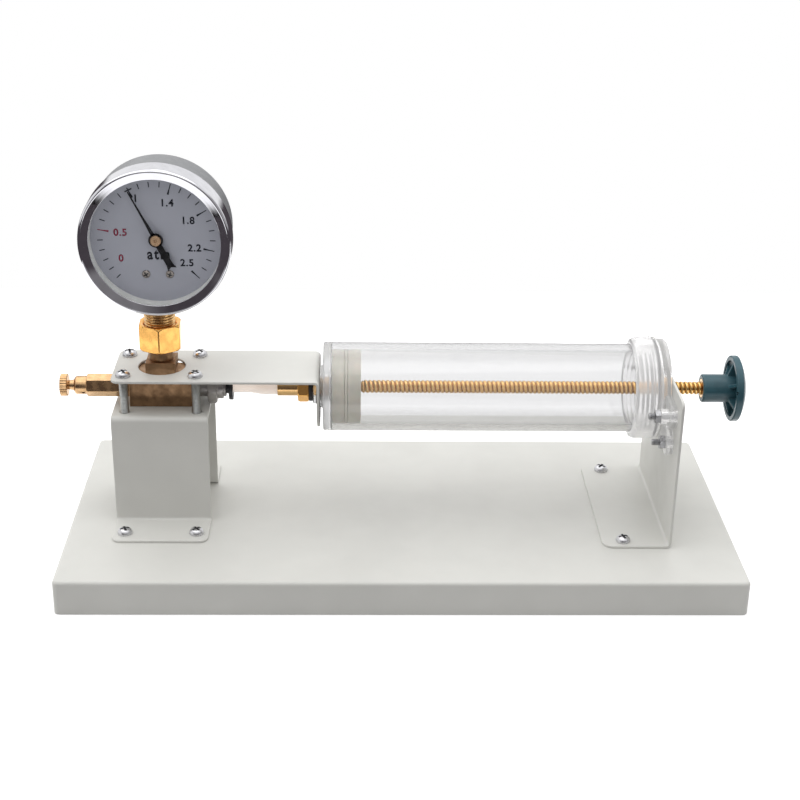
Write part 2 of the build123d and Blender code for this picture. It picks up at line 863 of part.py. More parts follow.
def make_sector_gear():
    radius = gear_module * sector_teeth / 2
    step = 360 / sector_teeth
    rim = radius - root_depth * gear_module
    first = 90 + (teeth_left + 0.6) * step
    last = 90 - (teeth_right + 0.6) * step
    left = (rim * cos(radians(first)), rim * sin(radians(first)))
    right = (rim * cos(radians(last)), rim * sin(radians(last)))
    middle = (first + last) / 2
    crest = (rim * cos(radians(middle)), rim * sin(radians(middle)))
    edge = ThreePointArc(left, crest, right)
    face = make_face(Curve() + [edge, Line(right, (0, 0)), Line((0, 0), left)])
    face += Circle(sector_hub_radius)
    for tooth in range(-teeth_left, teeth_right + 1):
        face += Rot(0, 0, -tooth * step) * gear_tooth(radius)
    tail = Rot(0, 0, tail_angle()) * Pos(tail_length / 2, 0) * SlotCenterToCenter(tail_length, tail_width)
    face += tail
    gear = Pos(0, gear_y + gear_thickness / 2, 0) * Rot(90, 0, 0) * extrude(face, gear_thickness)
    gear = Pos(0, 0, -sector_drop) * gear
    arbor_end = back_plate_y + movement_plate - arbor_recess
    gear += depth_rod(arbor_radius, front_plate_y + arbor_recess, arbor_end, 0, -sector_drop)
    gear += depth_rod(pin_radius, link_y + pin_recess, gear_y, *tail_place())
    return Pos(gauge_x, 0, gauge_z) * gear


def make_pinion():
    radius = gear_module * pinion_teeth / 2
    step = 360 / pinion_teeth
    face = Circle(radius - root_depth * gear_module)
    for tooth in range(pinion_teeth):
        face += Rot(0, 0, 90 + (tooth + 0.5) * step) * gear_tooth(radius)
    length = gear_thickness + pinion_overhang
    pinion = Pos(0, gear_y + length / 2, 0) * Rot(90, 0, 0) * extrude(face, length)
    pinion += depth_rod(arbor_radius, hub_front + hub_wall, back_plate_y + movement_plate - arbor_recess)
    pinion += depth_rod(spring_inner_radius - collet_play, spring_y, spring_y + spring_breadth)
    return Pos(gauge_x, 0, gauge_z) * pinion


def make_hairspring():
    # Half rings of growing size, above and below in turn, make a spiral.
    step = spring_pitch / 2
    window_height = movement_width
    face = None
    for half_turn in range(spring_half_turns):
        radius = spring_inner_radius + half_turn * step
        up = half_turn % 2 == 0
        ring = Circle(radius + spring_strip) - Circle(radius)
        window_y = window_height / 2 if up else -window_height / 2
        window = Pos(0, window_y) * Rectangle(2 * window_height, window_height)
        piece = Pos(0 if up else step, 0) * (ring & window)
        face = piece if face is None else face + piece
    spring = Rot(90, 0, 0) * extrude(face, spring_breadth)
    return Pos(gauge_x, spring_y + spring_breadth, gauge_z) * spring


def make_pointer():
    flare_start = pointer_flare - pointer_tail
    upper = [
        (pointer_length, pointer_tip),
        (0, pointer_half_width),
        (0, pointer_tail_half),
        (flare_start, pointer_tail_half),
        (-pointer_tail, pointer_flare_half),
    ]
    lower = [(x, -y) for x, y in reversed(upper)]
    face = make_face(Polyline(*upper, *lower, close=True))
    face += Circle(pointer_boss_radius)
    face -= Circle(hub_neck_radius + fit_gap)
    pointer = extrude(face, pointer_thickness)
    turn = Rot(0, -pointer_rest_angle, 0) * Rot(90, 0, 0)
    return Pos(gauge_x, pointer_front + pointer_thickness, gauge_z) * turn * pointer


def make_pointer_hub():
    front = depth_rod(pointer_hub_radius, hub_front, pointer_front)
    hub = front + depth_rod(hub_neck_radius, pointer_front, dial_front - hub_dial_gap)
    hub -= depth_rod(arbor_radius, hub_front + hub_wall, dial_front)
    return Pos(gauge_x, 0, gauge_z) * hub


# bleed valve

def make_valve_body():
    chamber = valve_stem_radius + fit_gap
    outline = [
        (valve_left + valve_mouth, chamber),
        (valve_left, valve_collar_radius - 1.5 * valve_collar_edge),
        (valve_left, valve_collar_radius - valve_collar_edge),
        (valve_left + valve_collar_edge, valve_collar_radius),
        (valve_hex_left, valve_collar_radius),
        (valve_hex_left, chamber),
    ]
    body = turned(outline)
    body += hexagon_along_x(valve_flats, valve_hex_left, manifold_left, valve_turn)
    body += rod_between(port_radius - fit_gap, manifold_left, manifold_left + port_depth)
    body -= rod_between(chamber, valve_left - past, valve_seat_x)
    body -= rod_between(valve_seat_radius, valve_seat_x - past, manifold_left + port_depth + past)
    hole_x = valve_hex_left - vent_hole_inset
    vent = post_between(vent_hole_radius, -valve_collar_radius - past, -valve_seat_radius)
    return on_line(body - Pos(hole_x, 0, 0) * Rot(vent_hole_turn, 0, 0) * vent)


def make_valve_screw():
    stem_end = valve_seat_x - valve_pad_length - valve_pad_gap
    knob = rod_between(valve_knob_radius, valve_knob_right - valve_knob_length, valve_knob_right)
    knob = chamfer(knob.edges().filter_by(GeomType.CIRCLE), valve_knob_edge)
    stem = rod_between(valve_stem_radius, valve_knob_right, stem_end)
    tip = rod_between(valve_tip_radius, stem_end, stem_end + valve_tip_length)
    return on_line(knob + stem + tip)


def make_valve_pad():
    start = valve_seat_x - valve_pad_length
    pad = rod_between(valve_stem_radius - valve_pad_gap, start, valve_seat_x)
    pocket = valve_tip_radius + valve_tip_gap
    return on_line(pad - rod_between(pocket, start - past, start + valve_tip_length + valve_tip_gap))


# fitting, hose, nipple and washers

def make_fitting_body():
    outline = [
        (manifold_right - port_depth, hose_bore),
        (manifold_right - port_depth, port_radius - fit_gap),
        (manifold_right, port_radius - fit_gap),
        (manifold_right, fitting_neck_radius),
        (fitting_hex_left, fitting_neck_radius),
        (fitting_round_left, fitting_neck_radius),
        (fitting_round_left, fitting_round_radius),
        (fitting_lip_left, fitting_round_radius),
        (fitting_lip_left, fitting_lip_radius),
        (release_left, fitting_lip_radius),
        (release_left, release_neck_radius + fit_gap),
        (release_left - fitting_counterbore, release_neck_radius + fit_gap),
        (release_left - fitting_counterbore, hose_radius + fit_gap),
        (release_left - hose_insert, hose_radius + fit_gap),
        (release_left - hose_insert, hose_bore),
    ]
    body = turned(outline)
    bar = hexagon_along_x(fitting_flats, fitting_hex_left, fitting_round_left, fitting_turn)
    hole = rod_between(hose_radius + fit_gap, fitting_hex_left - past, fitting_round_left + past)
    return on_line(body + bar - hole)


def make_release_collar():
    flange_right = release_flange_left + release_flange_length
    outline = [
        (release_left - release_insert, hose_radius + fit_gap),
        (release_left - release_insert, release_neck_radius),
        (release_flange_left, release_neck_radius),
        (release_flange_left, release_flange_radius),
        (flange_right, release_flange_radius),
        (flange_right, hose_radius + fit_gap),
    ]
    return on_line(turned(outline))


def make_hose():
    start = release_left - hose_insert + hose_end_gap
    flare_to = nipple_body_left - barb_length + barb_start
    flare_from = flare_to - hose_stretch_run
    outline = [
        (start, hose_bore),
        (start, hose_radius),
        (flare_from, hose_radius),
        (flare_to, hose_radius + hose_stretch),
        (nipple_body_left, hose_radius + hose_stretch),
        (nipple_body_left, barb_crest + fit_gap),
        (flare_to, barb_crest + fit_gap),
        (flare_from, hose_bore),
    ]
    return on_line(turned(outline))


def make_barb_nipple():
    wall_side = cylinder_left + end_wall - nipple_recess
    start = nipple_body_left - barb_length + barb_start
    pitch = (nipple_body_left - start) / barb_count
    lead = start - nipple_lead
    outline = [(lead, nipple_bore), (lead, nipple_bore + nipple_tip_wall)]
    for barb in range(barb_count):
        here = start + barb * pitch
        crest = here + pitch * barb_share
        outline += [(here, barb_root), (crest, barb_crest), (crest, barb_root)]
    outline += [
        (nipple_body_left, barb_root),
        (nipple_body_left, nipple_radius),
        (wall_side, nipple_radius),
        (wall_side, nipple_bore),
    ]
    return on_line(turned(outline))


def make_clear_washer():
    blank = rod_between(clear_washer_radius, clear_washer_left, tongue_left)
    blank = fillet(blank.edges().filter_by(GeomType.CIRCLE), clear_washer_rounding)
    hole = rod_between(nipple_radius + fit_gap, clear_washer_left - past, tongue_left + past)
    return on_line(blank - hole)


def make_rubber_washer():
    blank = rod_between(rubber_washer_radius, rubber_washer_left, clear_washer_left)
    hole = rod_between(nipple_radius + fit_gap, rubber_washer_left - past, clear_washer_left + past)
    return on_line(blank - hole)


def make_nipple_nut():
    bar = hexagon_along_x(nipple_nut_flats, nipple_nut_left, rubber_washer_left, nipple_nut_turn)
    hole = rod_between(nipple_radius + fit_gap, nipple_nut_left - past, rubber_washer_left + past)
    return on_line(bar - hole)


# cylinder, cap and end bracket

def make_cylinder():
    inside = cylinder_left + end_wall
    hole = nipple_radius + fit_gap
    outline = [
        (cylinder_left - boss_length, hole),
        (cylinder_left - boss_length, boss_radius),
        (cylinder_left, boss_radius),
        (cylinder_left, cylinder_radius - cylinder_edge),
        (cylinder_left + cylinder_edge, cylinder_radius),
        (cylinder_right, cylinder_radius),
        (cylinder_right, bore_radius),
        (inside, bore_radius),
        (inside, hole),
    ]
    return on_line(turned(outline))


def ear_spots():
    # (place across, place up, upper) of each ear, from the cylinder's axis.
    spots = []
    for side in (-1, 1):
        for drop, upper in ((0, True), (ear_drop_angle, False)):
            angle = radians(drop)
            spots.append((side * ear_pitch_radius * cos(angle), -ear_pitch_radius * sin(angle), upper))
    return spots


def ear_boss_left(upper):
    return cap_bracket_face - ear_boss_length if upper else cap_plate_left


def make_end_cap():
    seat = cylinder_right + cap_end_gap
    step_x = cylinder_right + cap_step
    cut = cap_rounding * cap_inner_rounding
    outline = [
        (cap_left, cylinder_radius + cap_fit),
        (cap_left, cap_radius - cap_rounding),
        (cap_left + cut, cap_radius - cut),
        (cap_left + cap_rounding, cap_radius),
        (step_x, cap_radius),
        (step_x, cap_step_radius),
        (cap_bracket_face - cap_edge, cap_step_radius),
        (cap_bracket_face, cap_step_radius - cap_edge),
        (cap_bracket_face, rod_nut_radius + fit_gap),
        (cap_plate_left, rod_nut_radius + fit_gap),
        (cap_plate_left, bore_radius),
        (seat, bore_radius),
        (seat, cylinder_radius + cap_fit),
    ]
    cap = turned(outline)
    root = cap_step_radius - ear_root
    reach = ear_pitch_radius - root
    for across, up, upper in ear_spots():
        angle = degrees(atan2(up, across))
        arm = Pos(root + reach / 2, 0) * Rectangle(reach, 2 * ear_radius)
        ear = Rot(0, 0, angle) * (arm + Pos(ear_pitch_radius, 0) * Circle(ear_radius))
        cap += Pos(cap_plate_left, 0, 0) * Plane.YZ.location * extrude(ear, cap_plate)
        left = ear_boss_left(upper)
        if upper:
            cap += Pos(0, across, up) * rod_between(ear_boss_radius, left, cap_bracket_face)
        hole = rod_between(cap_screw_radius + hole_gap, left - past, cap_bracket_face + past)
        cap -= Pos(0, across, up) * hole
    return on_line(cap)


def make_cap_screws():
    screws = []
    for across, up, upper in ear_spots():
        length = cap_screw_length if upper else cap_short_screw_length
        screw = pan_screw(cap_screw_head_radius, cap_screw_head_height, cap_screw_radius, length)
        screws.append(on_line(Pos(bracket_outside, across, up) * Rot(0, 90, 0) * screw))
    return Compound(children=screws)


def make_cap_nuts():
    one = Rot(0, 90, 0) * nut(cap_nut_flats, cap_nut_height, cap_screw_radius)
    nuts = [
        on_line(Pos(ear_boss_left(upper) - cap_nut_height, across, up) * one)
        for across, up, upper in ear_spots()
    ]
    return Compound(children=nuts)


def make_rod_nut():
    outline = [
        (cap_plate_left - rod_nut_flange_length, rod_radius + fit_gap),
        (cap_plate_left - rod_nut_flange_length, rod_nut_flange_radius),
        (cap_plate_left, rod_nut_flange_radius),
        (cap_plate_left, rod_nut_radius),
        (cap_bracket_face, rod_nut_radius),
        (cap_bracket_face, rod_radius + fit_gap),
    ]
    return on_line(turned(outline))


def make_end_bracket():
    mid_x = cap_bracket_face + sheet / 2
    low = base_top + sheet / 2
    route = [(bracket_outside - bracket_foot, low), (mid_x, low), (mid_x, base_top + bracket_height)]
    plate = Rot(90, 0, 0) * bent_sheet(route, bracket_width)
    foot_edges = plate.edges().filter_by(Axis.Z).sort_by(Axis.X)[:2]
    plate = fillet(foot_edges, bracket_corner)
    top_edges = plate.edges().filter_by(Axis.X).sort_by(Axis.Z)[-2:]
    plate = fillet(top_edges, bracket_top_corner)
    for x, y in bracket_screw_places():
        plate -= post_between(screw_radius + hole_gap, base_top - past, base_top + sheet + past, x, y)
    through = (cap_bracket_face - past, bracket_outside + past)
    for across, up, upper in ear_spots():
        hole = rod_between(cap_screw_radius + hole_gap, *through)
        plate -= on_line(Pos(0, across, up) * hole)
    return plate - on_line(rod_between(rod_radius + rod_hole_gap, *through))


# piston, rod and knob

def make_piston():
    outside = bore_radius - piston_clearance
    groove = bore_radius - ring_section - ring_groove_play
    middle = (piston_left + piston_right) / 2
    half_groove = ring_section / 2 + ring_groove_play
    pocket = retainer_right + rod_gap
    outline = [
        (piston_left, retainer_pocket_radius),
        (piston_left, outside - piston_edge),
        (piston_left + piston_edge, outside),
        (middle - half_groove, outside),
        (middle - half_groove, groove),
        (middle + half_groove, groove),
        (middle + half_groove, outside),
        (piston_right, outside),
        (piston_right, journal_radius + fit_gap),
        (pocket, journal_radius + fit_gap),
        (pocket, retainer_pocket_radius),
    ]
    return on_line(turned(outline))


def make_piston_ring():
    middle = (piston_left + piston_right) / 2
    centre = bore_radius - ring_clearance - ring_section / 2
    square = RectangleRounded(ring_section, ring_section, ring_section * ring_roundness)
    return on_line(revolve(Pos(middle, centre) * square, Axis.X))


def make_threaded_rod():
    neck_left = retainer_right - retainer_length
    rod = rod_between(rod_radius, rod_start, rod_end)
    rod = chamfer(rod.edges().filter_by(GeomType.CIRCLE).sort_by(Axis.X)[-1], rod_edge)
    return on_line(rod + rod_between(journal_radius, neck_left, rod_start))


def make_rod_retainer():
    left = retainer_right - retainer_length
    ring = rod_between(retainer_radius, left, retainer_right)
    ring = chamfer(ring.edges().filter_by(GeomType.CIRCLE), retainer_edge)
    return on_line(ring - rod_between(journal_radius + fit_gap, left - past, retainer_right + past))


def dome_face(x_left, x_edge, radius, crown):
    # Half the section of a disc with a spherical right-hand face.
    ball = (radius * radius + crown * crown) / (2 * crown)
    middle = radius / 2
    sag = ball - (ball * ball - middle * middle) ** 0.5
    arc = ThreePointArc((x_edge, radius), (x_edge + crown - sag, middle), (x_edge + crown, 0))
    rest = Polyline((x_edge + crown, 0), (x_left, 0), (x_left, radius), (x_edge, radius))
    return make_face(Curve() + [arc, rest])


def make_knob():
    rim_back = knob_rim_x + knob_rim_thickness
    inside = knob_radius - knob_rim_wall
    disc = revolve(dome_face(knob_rim_x, rim_back, knob_radius, knob_crown), Axis.X)
    disc = fillet(disc.edges().filter_by(GeomType.CIRCLE), knob_edge)
    hollow_edge = rim_back - knob_web + knob_edge
    hollow = revolve(dome_face(knob_rim_x - past, hollow_edge, inside, knob_crown - knob_edge), Axis.X)
    web_left = rim_back + knob_crown - knob_web
    hub = rod_between(knob_hub_radius, knob_left, web_left + knob_bite)
    hub = chamfer(hub.edges().filter_by(GeomType.CIRCLE).sort_by(Axis.X)[0], knob_hub_edge)
    knob = disc - hollow + hub
    root = knob_hub_radius - knob_rib_drop
    tip = inside + knob_bite
    rib_outline = Polyline(
        (knob_left + knob_rib_inset, root), (knob_rim_x + knob_rib_drop, tip),
        (knob_rim_x + knob_rib_root, tip), (web_left + knob_bite, root),
        close=True,
    )
    rib = extrude(make_face(rib_outline), knob_rib / 2, both=True)
    for turn in range(knob_ribs):
        knob += Rot((turn + 0.5) * 360 / knob_ribs, 0, 0) * rib
    bore_end = rod_end + fit_gap
    return on_line(knob - rod_between(insert_radius + fit_gap, knob_left - past, bore_end))


def make_knob_insert():
    right = knob_left + insert_length - fit_gap
    sleeve = rod_between(insert_radius, knob_left, right)
    return on_line(sleeve - rod_between(rod_radius + fit_gap, knob_left - past, right + past))


def main():
    os.makedirs("parts", exist_ok=True)
    save(make_base_tray(), "base_tray")
    save(make_tower_bracket(), "tower_bracket")
    save(make_foot_screws(foot_screw_places()), "tower_foot_screws")
    save(make_foot_nuts(foot_screw_places()), "tower_foot_nuts")
    save(make_top_plate(), "top_plate")
    save(make_post_screws(), "clamp_screws")
    save(make_post_nuts(), "clamp_nuts")
    save(make_manifold(), "manifold_block")
    save(make_union_tail(), "union_tail")
    save(make_union_seal(), "union_seal")
    save(make_union_nut(), "union_nut")
    save(make_gauge_stem(), "gauge_stem")
    save(make_gauge_case(), "gauge_case")
    save(make_bezel(), "gauge_bezel")
    save(make_gauge_glass(), "gauge_glass")
    save(make_dial_ring(), "dial_ring")
    save(make_dial(), "gauge_dial")
    save(make_dial_screws(), "dial_screws")
    save(make_bourdon_tube(), "bourdon_tube")
    save(make_tube_tip(), "tube_tip")
    save(make_tip_link(), "tip_link")
    save(make_link_screw(), "link_screw")
    save(make_front_plate(), "movement_front_plate")
    save(make_back_plate(), "movement_back_plate")
    save(make_plate_pillars(), "movement_pillars")
    save(make_sector_gear(), "sector_gear")
    save(make_pinion(), "pinion_arbor")
    save(make_hairspring(), "hairspring")
    save(make_pointer(), "pointer")
    save(make_pointer_hub(), "pointer_hub")
    save(make_valve_body(), "bleed_valve_body")
    save(make_valve_screw(), "bleed_screw")
    save(make_valve_pad(), "bleed_pad")
    save(make_fitting_body(), "hose_fitting")
    save(make_release_collar(), "release_collar")
    save(make_hose(), "hose")
    save(make_barb_nipple(), "barb_nipple")
    save(make_nipple_nut(), "nipple_nut")
    save(make_rubber_washer(), "rubber_washer")
    save(make_clear_washer(), "clear_washer")
    save(make_cylinder(), "cylinder")
    save(make_end_cap(), "end_cap")
    save(make_cap_screws(), "cap_screws")
    save(make_cap_nuts(), "cap_nuts")
    save(make_rod_nut(), "rod_nut")
    save(make_end_bracket(), "end_bracket")
    save(make_foot_screws(bracket_screw_places()), "bracket_foot_screws")
    save(make_foot_nuts(bracket_screw_places()), "bracket_foot_nuts")
    save(make_piston(), "piston")
    save(make_piston_ring(), "piston_ring")
    save(make_threaded_rod(), "threaded_rod")
    save(make_rod_retainer(), "rod_retainer")
    save(make_knob(), "knob")
    save(make_knob_insert(), "knob_insert")


main()
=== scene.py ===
import bmesh
import bpy
import json
from math import ceil, cos, pi, radians, sin
from mathutils import Matrix, Vector


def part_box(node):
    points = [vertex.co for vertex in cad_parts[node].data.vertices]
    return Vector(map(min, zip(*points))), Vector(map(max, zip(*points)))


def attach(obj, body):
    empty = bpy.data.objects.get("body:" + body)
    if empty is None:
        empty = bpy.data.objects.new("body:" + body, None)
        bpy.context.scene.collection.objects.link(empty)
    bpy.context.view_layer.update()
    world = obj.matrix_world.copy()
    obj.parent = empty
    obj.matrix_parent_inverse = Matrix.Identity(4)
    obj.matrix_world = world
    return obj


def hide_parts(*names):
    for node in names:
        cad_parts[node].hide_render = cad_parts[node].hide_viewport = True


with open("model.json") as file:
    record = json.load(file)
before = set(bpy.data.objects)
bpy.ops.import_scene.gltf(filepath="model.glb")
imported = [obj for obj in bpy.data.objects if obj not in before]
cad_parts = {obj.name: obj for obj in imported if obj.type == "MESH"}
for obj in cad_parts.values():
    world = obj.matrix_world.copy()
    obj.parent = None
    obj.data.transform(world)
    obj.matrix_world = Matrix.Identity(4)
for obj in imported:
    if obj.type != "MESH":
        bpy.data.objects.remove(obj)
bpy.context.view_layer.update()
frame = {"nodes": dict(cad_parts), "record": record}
cadNodes = frame["nodes"]
record = frame["record"]
mm = 0.001  # the pieces below are given in millimetres

bodyOf = {node: body for body, members in record["behaviour"]["bodies"].items() for node in members}
slotOf = {part["node"]: part["material_slot"] for part in record["subparts"]}


def reach(node, axis):
    # lowest and highest place of a CAD node along x, y or z, in millimetres
    low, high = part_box(node)
    which = "xyz".index(axis)
    return low[which] / mm, high[which] / mm


def middle(node, axis):
    low, high = reach(node, axis)
    return (low + high) / 2


def radiusOf(node, axis):
    low, high = reach(node, axis)
    return (high - low) / 2


def shifted(x, y, z):
    return Matrix.Translation((x * mm, y * mm, z * mm))


def turned(angle, axis):
    return Matrix.Rotation(radians(angle), 4, axis)


lineY = middle("cylinder", "y")  # tower, fittings, cylinder and rod stand on one line
axisZ = middle("cylinder", "z")
towerX = middle("union_tail", "x")
gaugeX = middle("gauge_bezel", "x")
gaugeZ = middle("gauge_bezel", "z")

# from a piece's own axes, in which it's turned about z, into the frame
alongLine = shifted(0, lineY, axisZ) @ turned(90, "Y")
intoGauge = shifted(gaugeX, 0, gaugeZ) @ turned(-90, "X")
upTower = shifted(towerX, lineY, 0)
print("frame loaded:", len(cadNodes), "nodes")


# camera and light

cameraView = {
    "lens": 70.0, "sensor": 36.0, "nearest": 0.01, "farthest": 20,
    "place": (-21.56, -642.97, 361.81), "turn": 1.854, "down": 24.382, "lean": 1.049,
}
room = {
    "dark": (0.072, 0.062, 0.070), "light": (1.0, 1.0, 1.0),
    # each side: the axis it lies on, where it begins and is full, and its brightness
    "top": ("Z", 0.32, 0.68, 1.0), "back": ("Y", 0.05, 0.55, 1.0),
    "left": ("X", -0.55, -0.92, 1.0), "right": ("X", 0.25, 0.85, 0.40),
    "front": ("Y", -0.65, -0.85, 0.17), "frontEnds": (("X", -0.25, 0.10, 1), ("X", 0.75, 0.45, 1)),
    "horizon": ("Z", -0.12, -0.02, 1), "afterMirror": 0.8, "afterMatt": 0.6,
}
table = {
    "low": (-360, -205), "high": (380, 330), "colour": 0.80, "lift": 0.42, "rough": 0.9,
    "bounce": 0.47, "sheen": 0.95, "sheenEnd": -200, "sheenFull": -165,
}
overhead = {"place": (-120, 120, 900), "size": 1200, "power": 4.6, "aim": (0, 0, 60)}


def newObject(name, data):
    item = bpy.data.objects.new(name, data)
    bpy.context.scene.collection.objects.link(item)
    return item


def makeCamera():
    data = bpy.data.cameras.new("camera")
    data.lens = cameraView["lens"]
    data.sensor_width = cameraView["sensor"]
    data.clip_start = cameraView["nearest"]
    data.clip_end = cameraView["farthest"]
    camera = newObject("camera", data)
    heading = turned(-cameraView["turn"], "Z") @ turned(90 - cameraView["down"], "X")
    camera.matrix_world = shifted(*cameraView["place"]) @ heading @ turned(cameraView["lean"], "Z")
    bpy.context.scene.camera = camera


def addNode(tree, kind, **values):
    node = tree.nodes.new("ShaderNode" + kind)
    for name, value in values.items():
        setattr(node, name, value)
    return node


def wire(tree, source, node, name):
    tree.links.new(source, node.inputs[name])


def shaderOf(material):
    return material.node_tree.nodes["Principled BSDF"]


def startFinish(name, colour, metal=0.0, rough=0.4, **inputs):
    material = bpy.data.materials.new(name)
    material.use_nodes = True
    shader = shaderOf(material)
    shader.inputs["Base Color"].default_value = (*colour, 1)
    shader.inputs["Metallic"].default_value = metal
    shader.inputs["Roughness"].default_value = rough
    for label, value in inputs.items():
        shader.inputs[label.replace("_", " ")].default_value = value
    return material


def partsOf(tree, which):
    # x, y and z of a texture coordinate
    parts = addNode(tree, "SeparateXYZ")
    wire(tree, addNode(tree, "TexCoord").outputs[which], parts, "Vector")
    return parts.outputs


def easedRange(tree, value, low, high, start, end):
    node = addNode(tree, "MapRange", interpolation_type="SMOOTHSTEP")
    for name, number in zip(("From Min", "From Max", "To Min", "To Max"), (low, high, start, end)):
        node.inputs[name].default_value = number
    wire(tree, value, node, "Value")
    return node.outputs["Result"]


def blended(tree, value, dark, light, low=0, high=1):
    # a colour between two, by a value that goes from low to high
    ramp = addNode(tree, "ValToRGB")
    for element, position, colour in zip(ramp.color_ramp.elements, (low, high), (dark, light)):
        element.position = position
        element.color = (*colour, 1)
    wire(tree, value, ramp, "Fac")
    return ramp.outputs["Color"]


def combine(tree, first, second, kind="ADD"):
    # one value from two sockets or numbers: their sum, unless another kind is given
    node = addNode(tree, "Math", operation=kind)
    for slotNumber, value in enumerate((first, second)):
        if isinstance(value, (int, float)):
            node.inputs[slotNumber].default_value = value
        else:
            wire(tree, value, node, slotNumber)
    return node.outputs[0]


def clearPath(tree, rays):
    # 1 for rays that have only passed through clear pieces, less once they have met another surface
    passed = rays.outputs["Is Transmission Ray"]
    for depth, share in (("Diffuse Depth", "afterMatt"), ("Glossy Depth", "afterMirror")):
        met = combine(tree, rays.outputs[depth], 1, "MINIMUM")
        left = combine(tree, combine(tree, met, room[share] - 1, "MULTIPLY"), 1)
        passed = combine(tree, passed, left, "MULTIPLY")
    return passed


def makeRoom():
    # a room that is bright above and behind the table, dim on the near side and at the right
    world = bpy.data.worlds.new("room")
    world.use_nodes = True
    tree = world.node_tree
    direction = partsOf(tree, "Generated")

    def side(axis, start, full, level):
        return easedRange(tree, direction[axis], start, full, 0, level)

    lit = side(*room["top"])
    for name in ("back", "left", "right"):
        lit = combine(tree, lit, side(*room[name]), "MAXIMUM")
    front = side(*room["front"])
    for end in room["frontEnds"]:
        front = combine(tree, front, side(*end), "MULTIPLY")
    lit = combine(tree, lit, front, "MAXIMUM")
    lit = combine(tree, lit, side(*room["horizon"]), "MULTIPLY")
    rays = addNode(tree, "LightPath")
    straight = combine(tree, rays.outputs["Is Camera Ray"], clearPath(tree, rays), "MAXIMUM")
    lit = combine(tree, lit, straight, "MAXIMUM")
    wire(tree, blended(tree, lit, room["dark"], room["light"]), tree.nodes["Background"], "Color")
    bpy.context.scene.world = world


def makeFloor():
    # the table is white to the eye and under the clear pieces, and gives back little light otherwise; its
    # near part glows in reflections, a painted reflection
    low, high = table["low"], table["high"]
    corners = [(low[0], low[1]), (high[0], low[1]), (high[0], high[1]), (low[0], high[1])]
    data = bpy.data.meshes.new("tableTop")
    data.from_pydata([(x * mm, y * mm, 0) for x, y in corners], [], [(0, 1, 2, 3)])
    floor = newObject("tableTop", data)
    white = (1, 1, 1)
    material = startFinish(
        "whiteTable", white, rough=table["rough"], Specular_IOR_Level=0.0, Emission_Color=(*white, 1),
    )
    tree, shader = material.node_tree, shaderOf(material)
    start, full = table["sheenEnd"] * mm, table["sheenFull"] * mm
    near = easedRange(tree, partsOf(tree, "Object")["Y"], start, full, 0, 1)
    rays = addNode(tree, "LightPath")
    seen, through = rays.outputs["Is Camera Ray"], rays.outputs["Is Transmission Ray"]
    mirrored = combine(tree, rays.outputs["Is Glossy Ray"], through, "SUBTRACT")
    mirrored = combine(tree, combine(tree, mirrored, 0, "MAXIMUM"), near, "MULTIPLY")
    bounced = combine(tree, combine(tree, seen, through, "ADD"), 1, "SUBTRACT")
    bounced = combine(tree, combine(tree, bounced, -table["bounce"], "MULTIPLY"), near, "MULTIPLY")
    albedo = combine(tree, combine(tree, seen, table["colour"], "MULTIPLY"), bounced)
    wire(tree, albedo, shader, "Base Color")
    lift = combine(tree, combine(tree, seen, table["lift"], "MULTIPLY"), clearPath(tree, rays))
    # painted reflection: the near table glows for reflected rays only
    lift = combine(tree, lift, combine(tree, mirrored, table["sheen"], "MULTIPLY"))
    wire(tree, lift, shader, "Emission Strength")
    data.materials.append(material)


def makeLamp():
    data = bpy.data.lights.new("overhead", "AREA")
    data.shape = "SQUARE"
    data.size = overhead["size"] * mm
    data.energy = overhead["power"]
    lamp = newObject("overhead", data)
    lamp.location = [value * mm for value in overhead["place"]]
    aim = Vector(overhead["aim"]) * mm - lamp.location
    lamp.rotation_mode = "QUATERNION"
    lamp.rotation_quaternion = aim.to_track_quat("-Z", "Y")


bpy.context.scene.view_settings.view_transform = "Standard"
makeCamera()
makeRoom()
makeFloor()
makeLamp()
print("camera, table and light set")


# finishes

def speckle(material, grain, detail, stretch=(1, 1, 1)):
    # a pattern whose spots are about grain millimetres wide, longer along an axis with a small stretch
    tree = material.node_tree
    scaled = addNode(tree, "Mapping")
    scaled.inputs["Scale"].default_value = [value / (grain * mm) for value in stretch]
    wire(tree, addNode(tree, "TexCoord").outputs["Object"], scaled, "Vector")
    pattern = addNode(tree, "TexNoise")
    pattern.inputs["Scale"].default_value = 1.0
    pattern.inputs["Detail"].default_value = detail
    wire(tree, scaled.outputs["Vector"], pattern, "Vector")
    return pattern.outputs["Fac"]


contrast = (0.35, 0.65)  # the part of a pattern's range in which it goes from one value to the other


def shaded(colour, share):
    return tuple(channel * share for channel in colour)


def tintBy(material, colour, grain, shares, detail=5, stretch=(1, 1, 1)):
    # spots of the colour, from one share of it to another
    tree = material.node_tree
    spots = speckle(material, grain, detail, stretch)
    tint = blended(tree, spots, *[shaded(colour, share) for share in shares], *contrast)
    wire(tree, tint, shaderOf(material), "Base Color")


def polishBy(material, grain, shares, rough=1, detail=4):
    # smoother and coarser spots, from one share of the roughness to another
    tree = material.node_tree
    smooth, coarse = (rough * share for share in shares)
    spots = easedRange(tree, speckle(material, grain, detail), *contrast, smooth, coarse)
    wire(tree, spots, shaderOf(material), "Roughness")


def bumpBy(material, grain, depth, detail=2, stretch=(1, 1, 1), under=None):
    # small hollows, depth in millimetres, over those already there
    tree = material.node_tree
    bump = addNode(tree, "Bump")
    bump.inputs["Strength"].default_value = 1.0
    bump.inputs["Distance"].default_value = depth * mm
    wire(tree, speckle(material, grain, detail, stretch), bump, "Height")
    if under is not None:
        wire(tree, under, bump, "Normal")
    wire(tree, bump.outputs["Normal"], shaderOf(material), "Normal")
    return bump.outputs["Normal"]


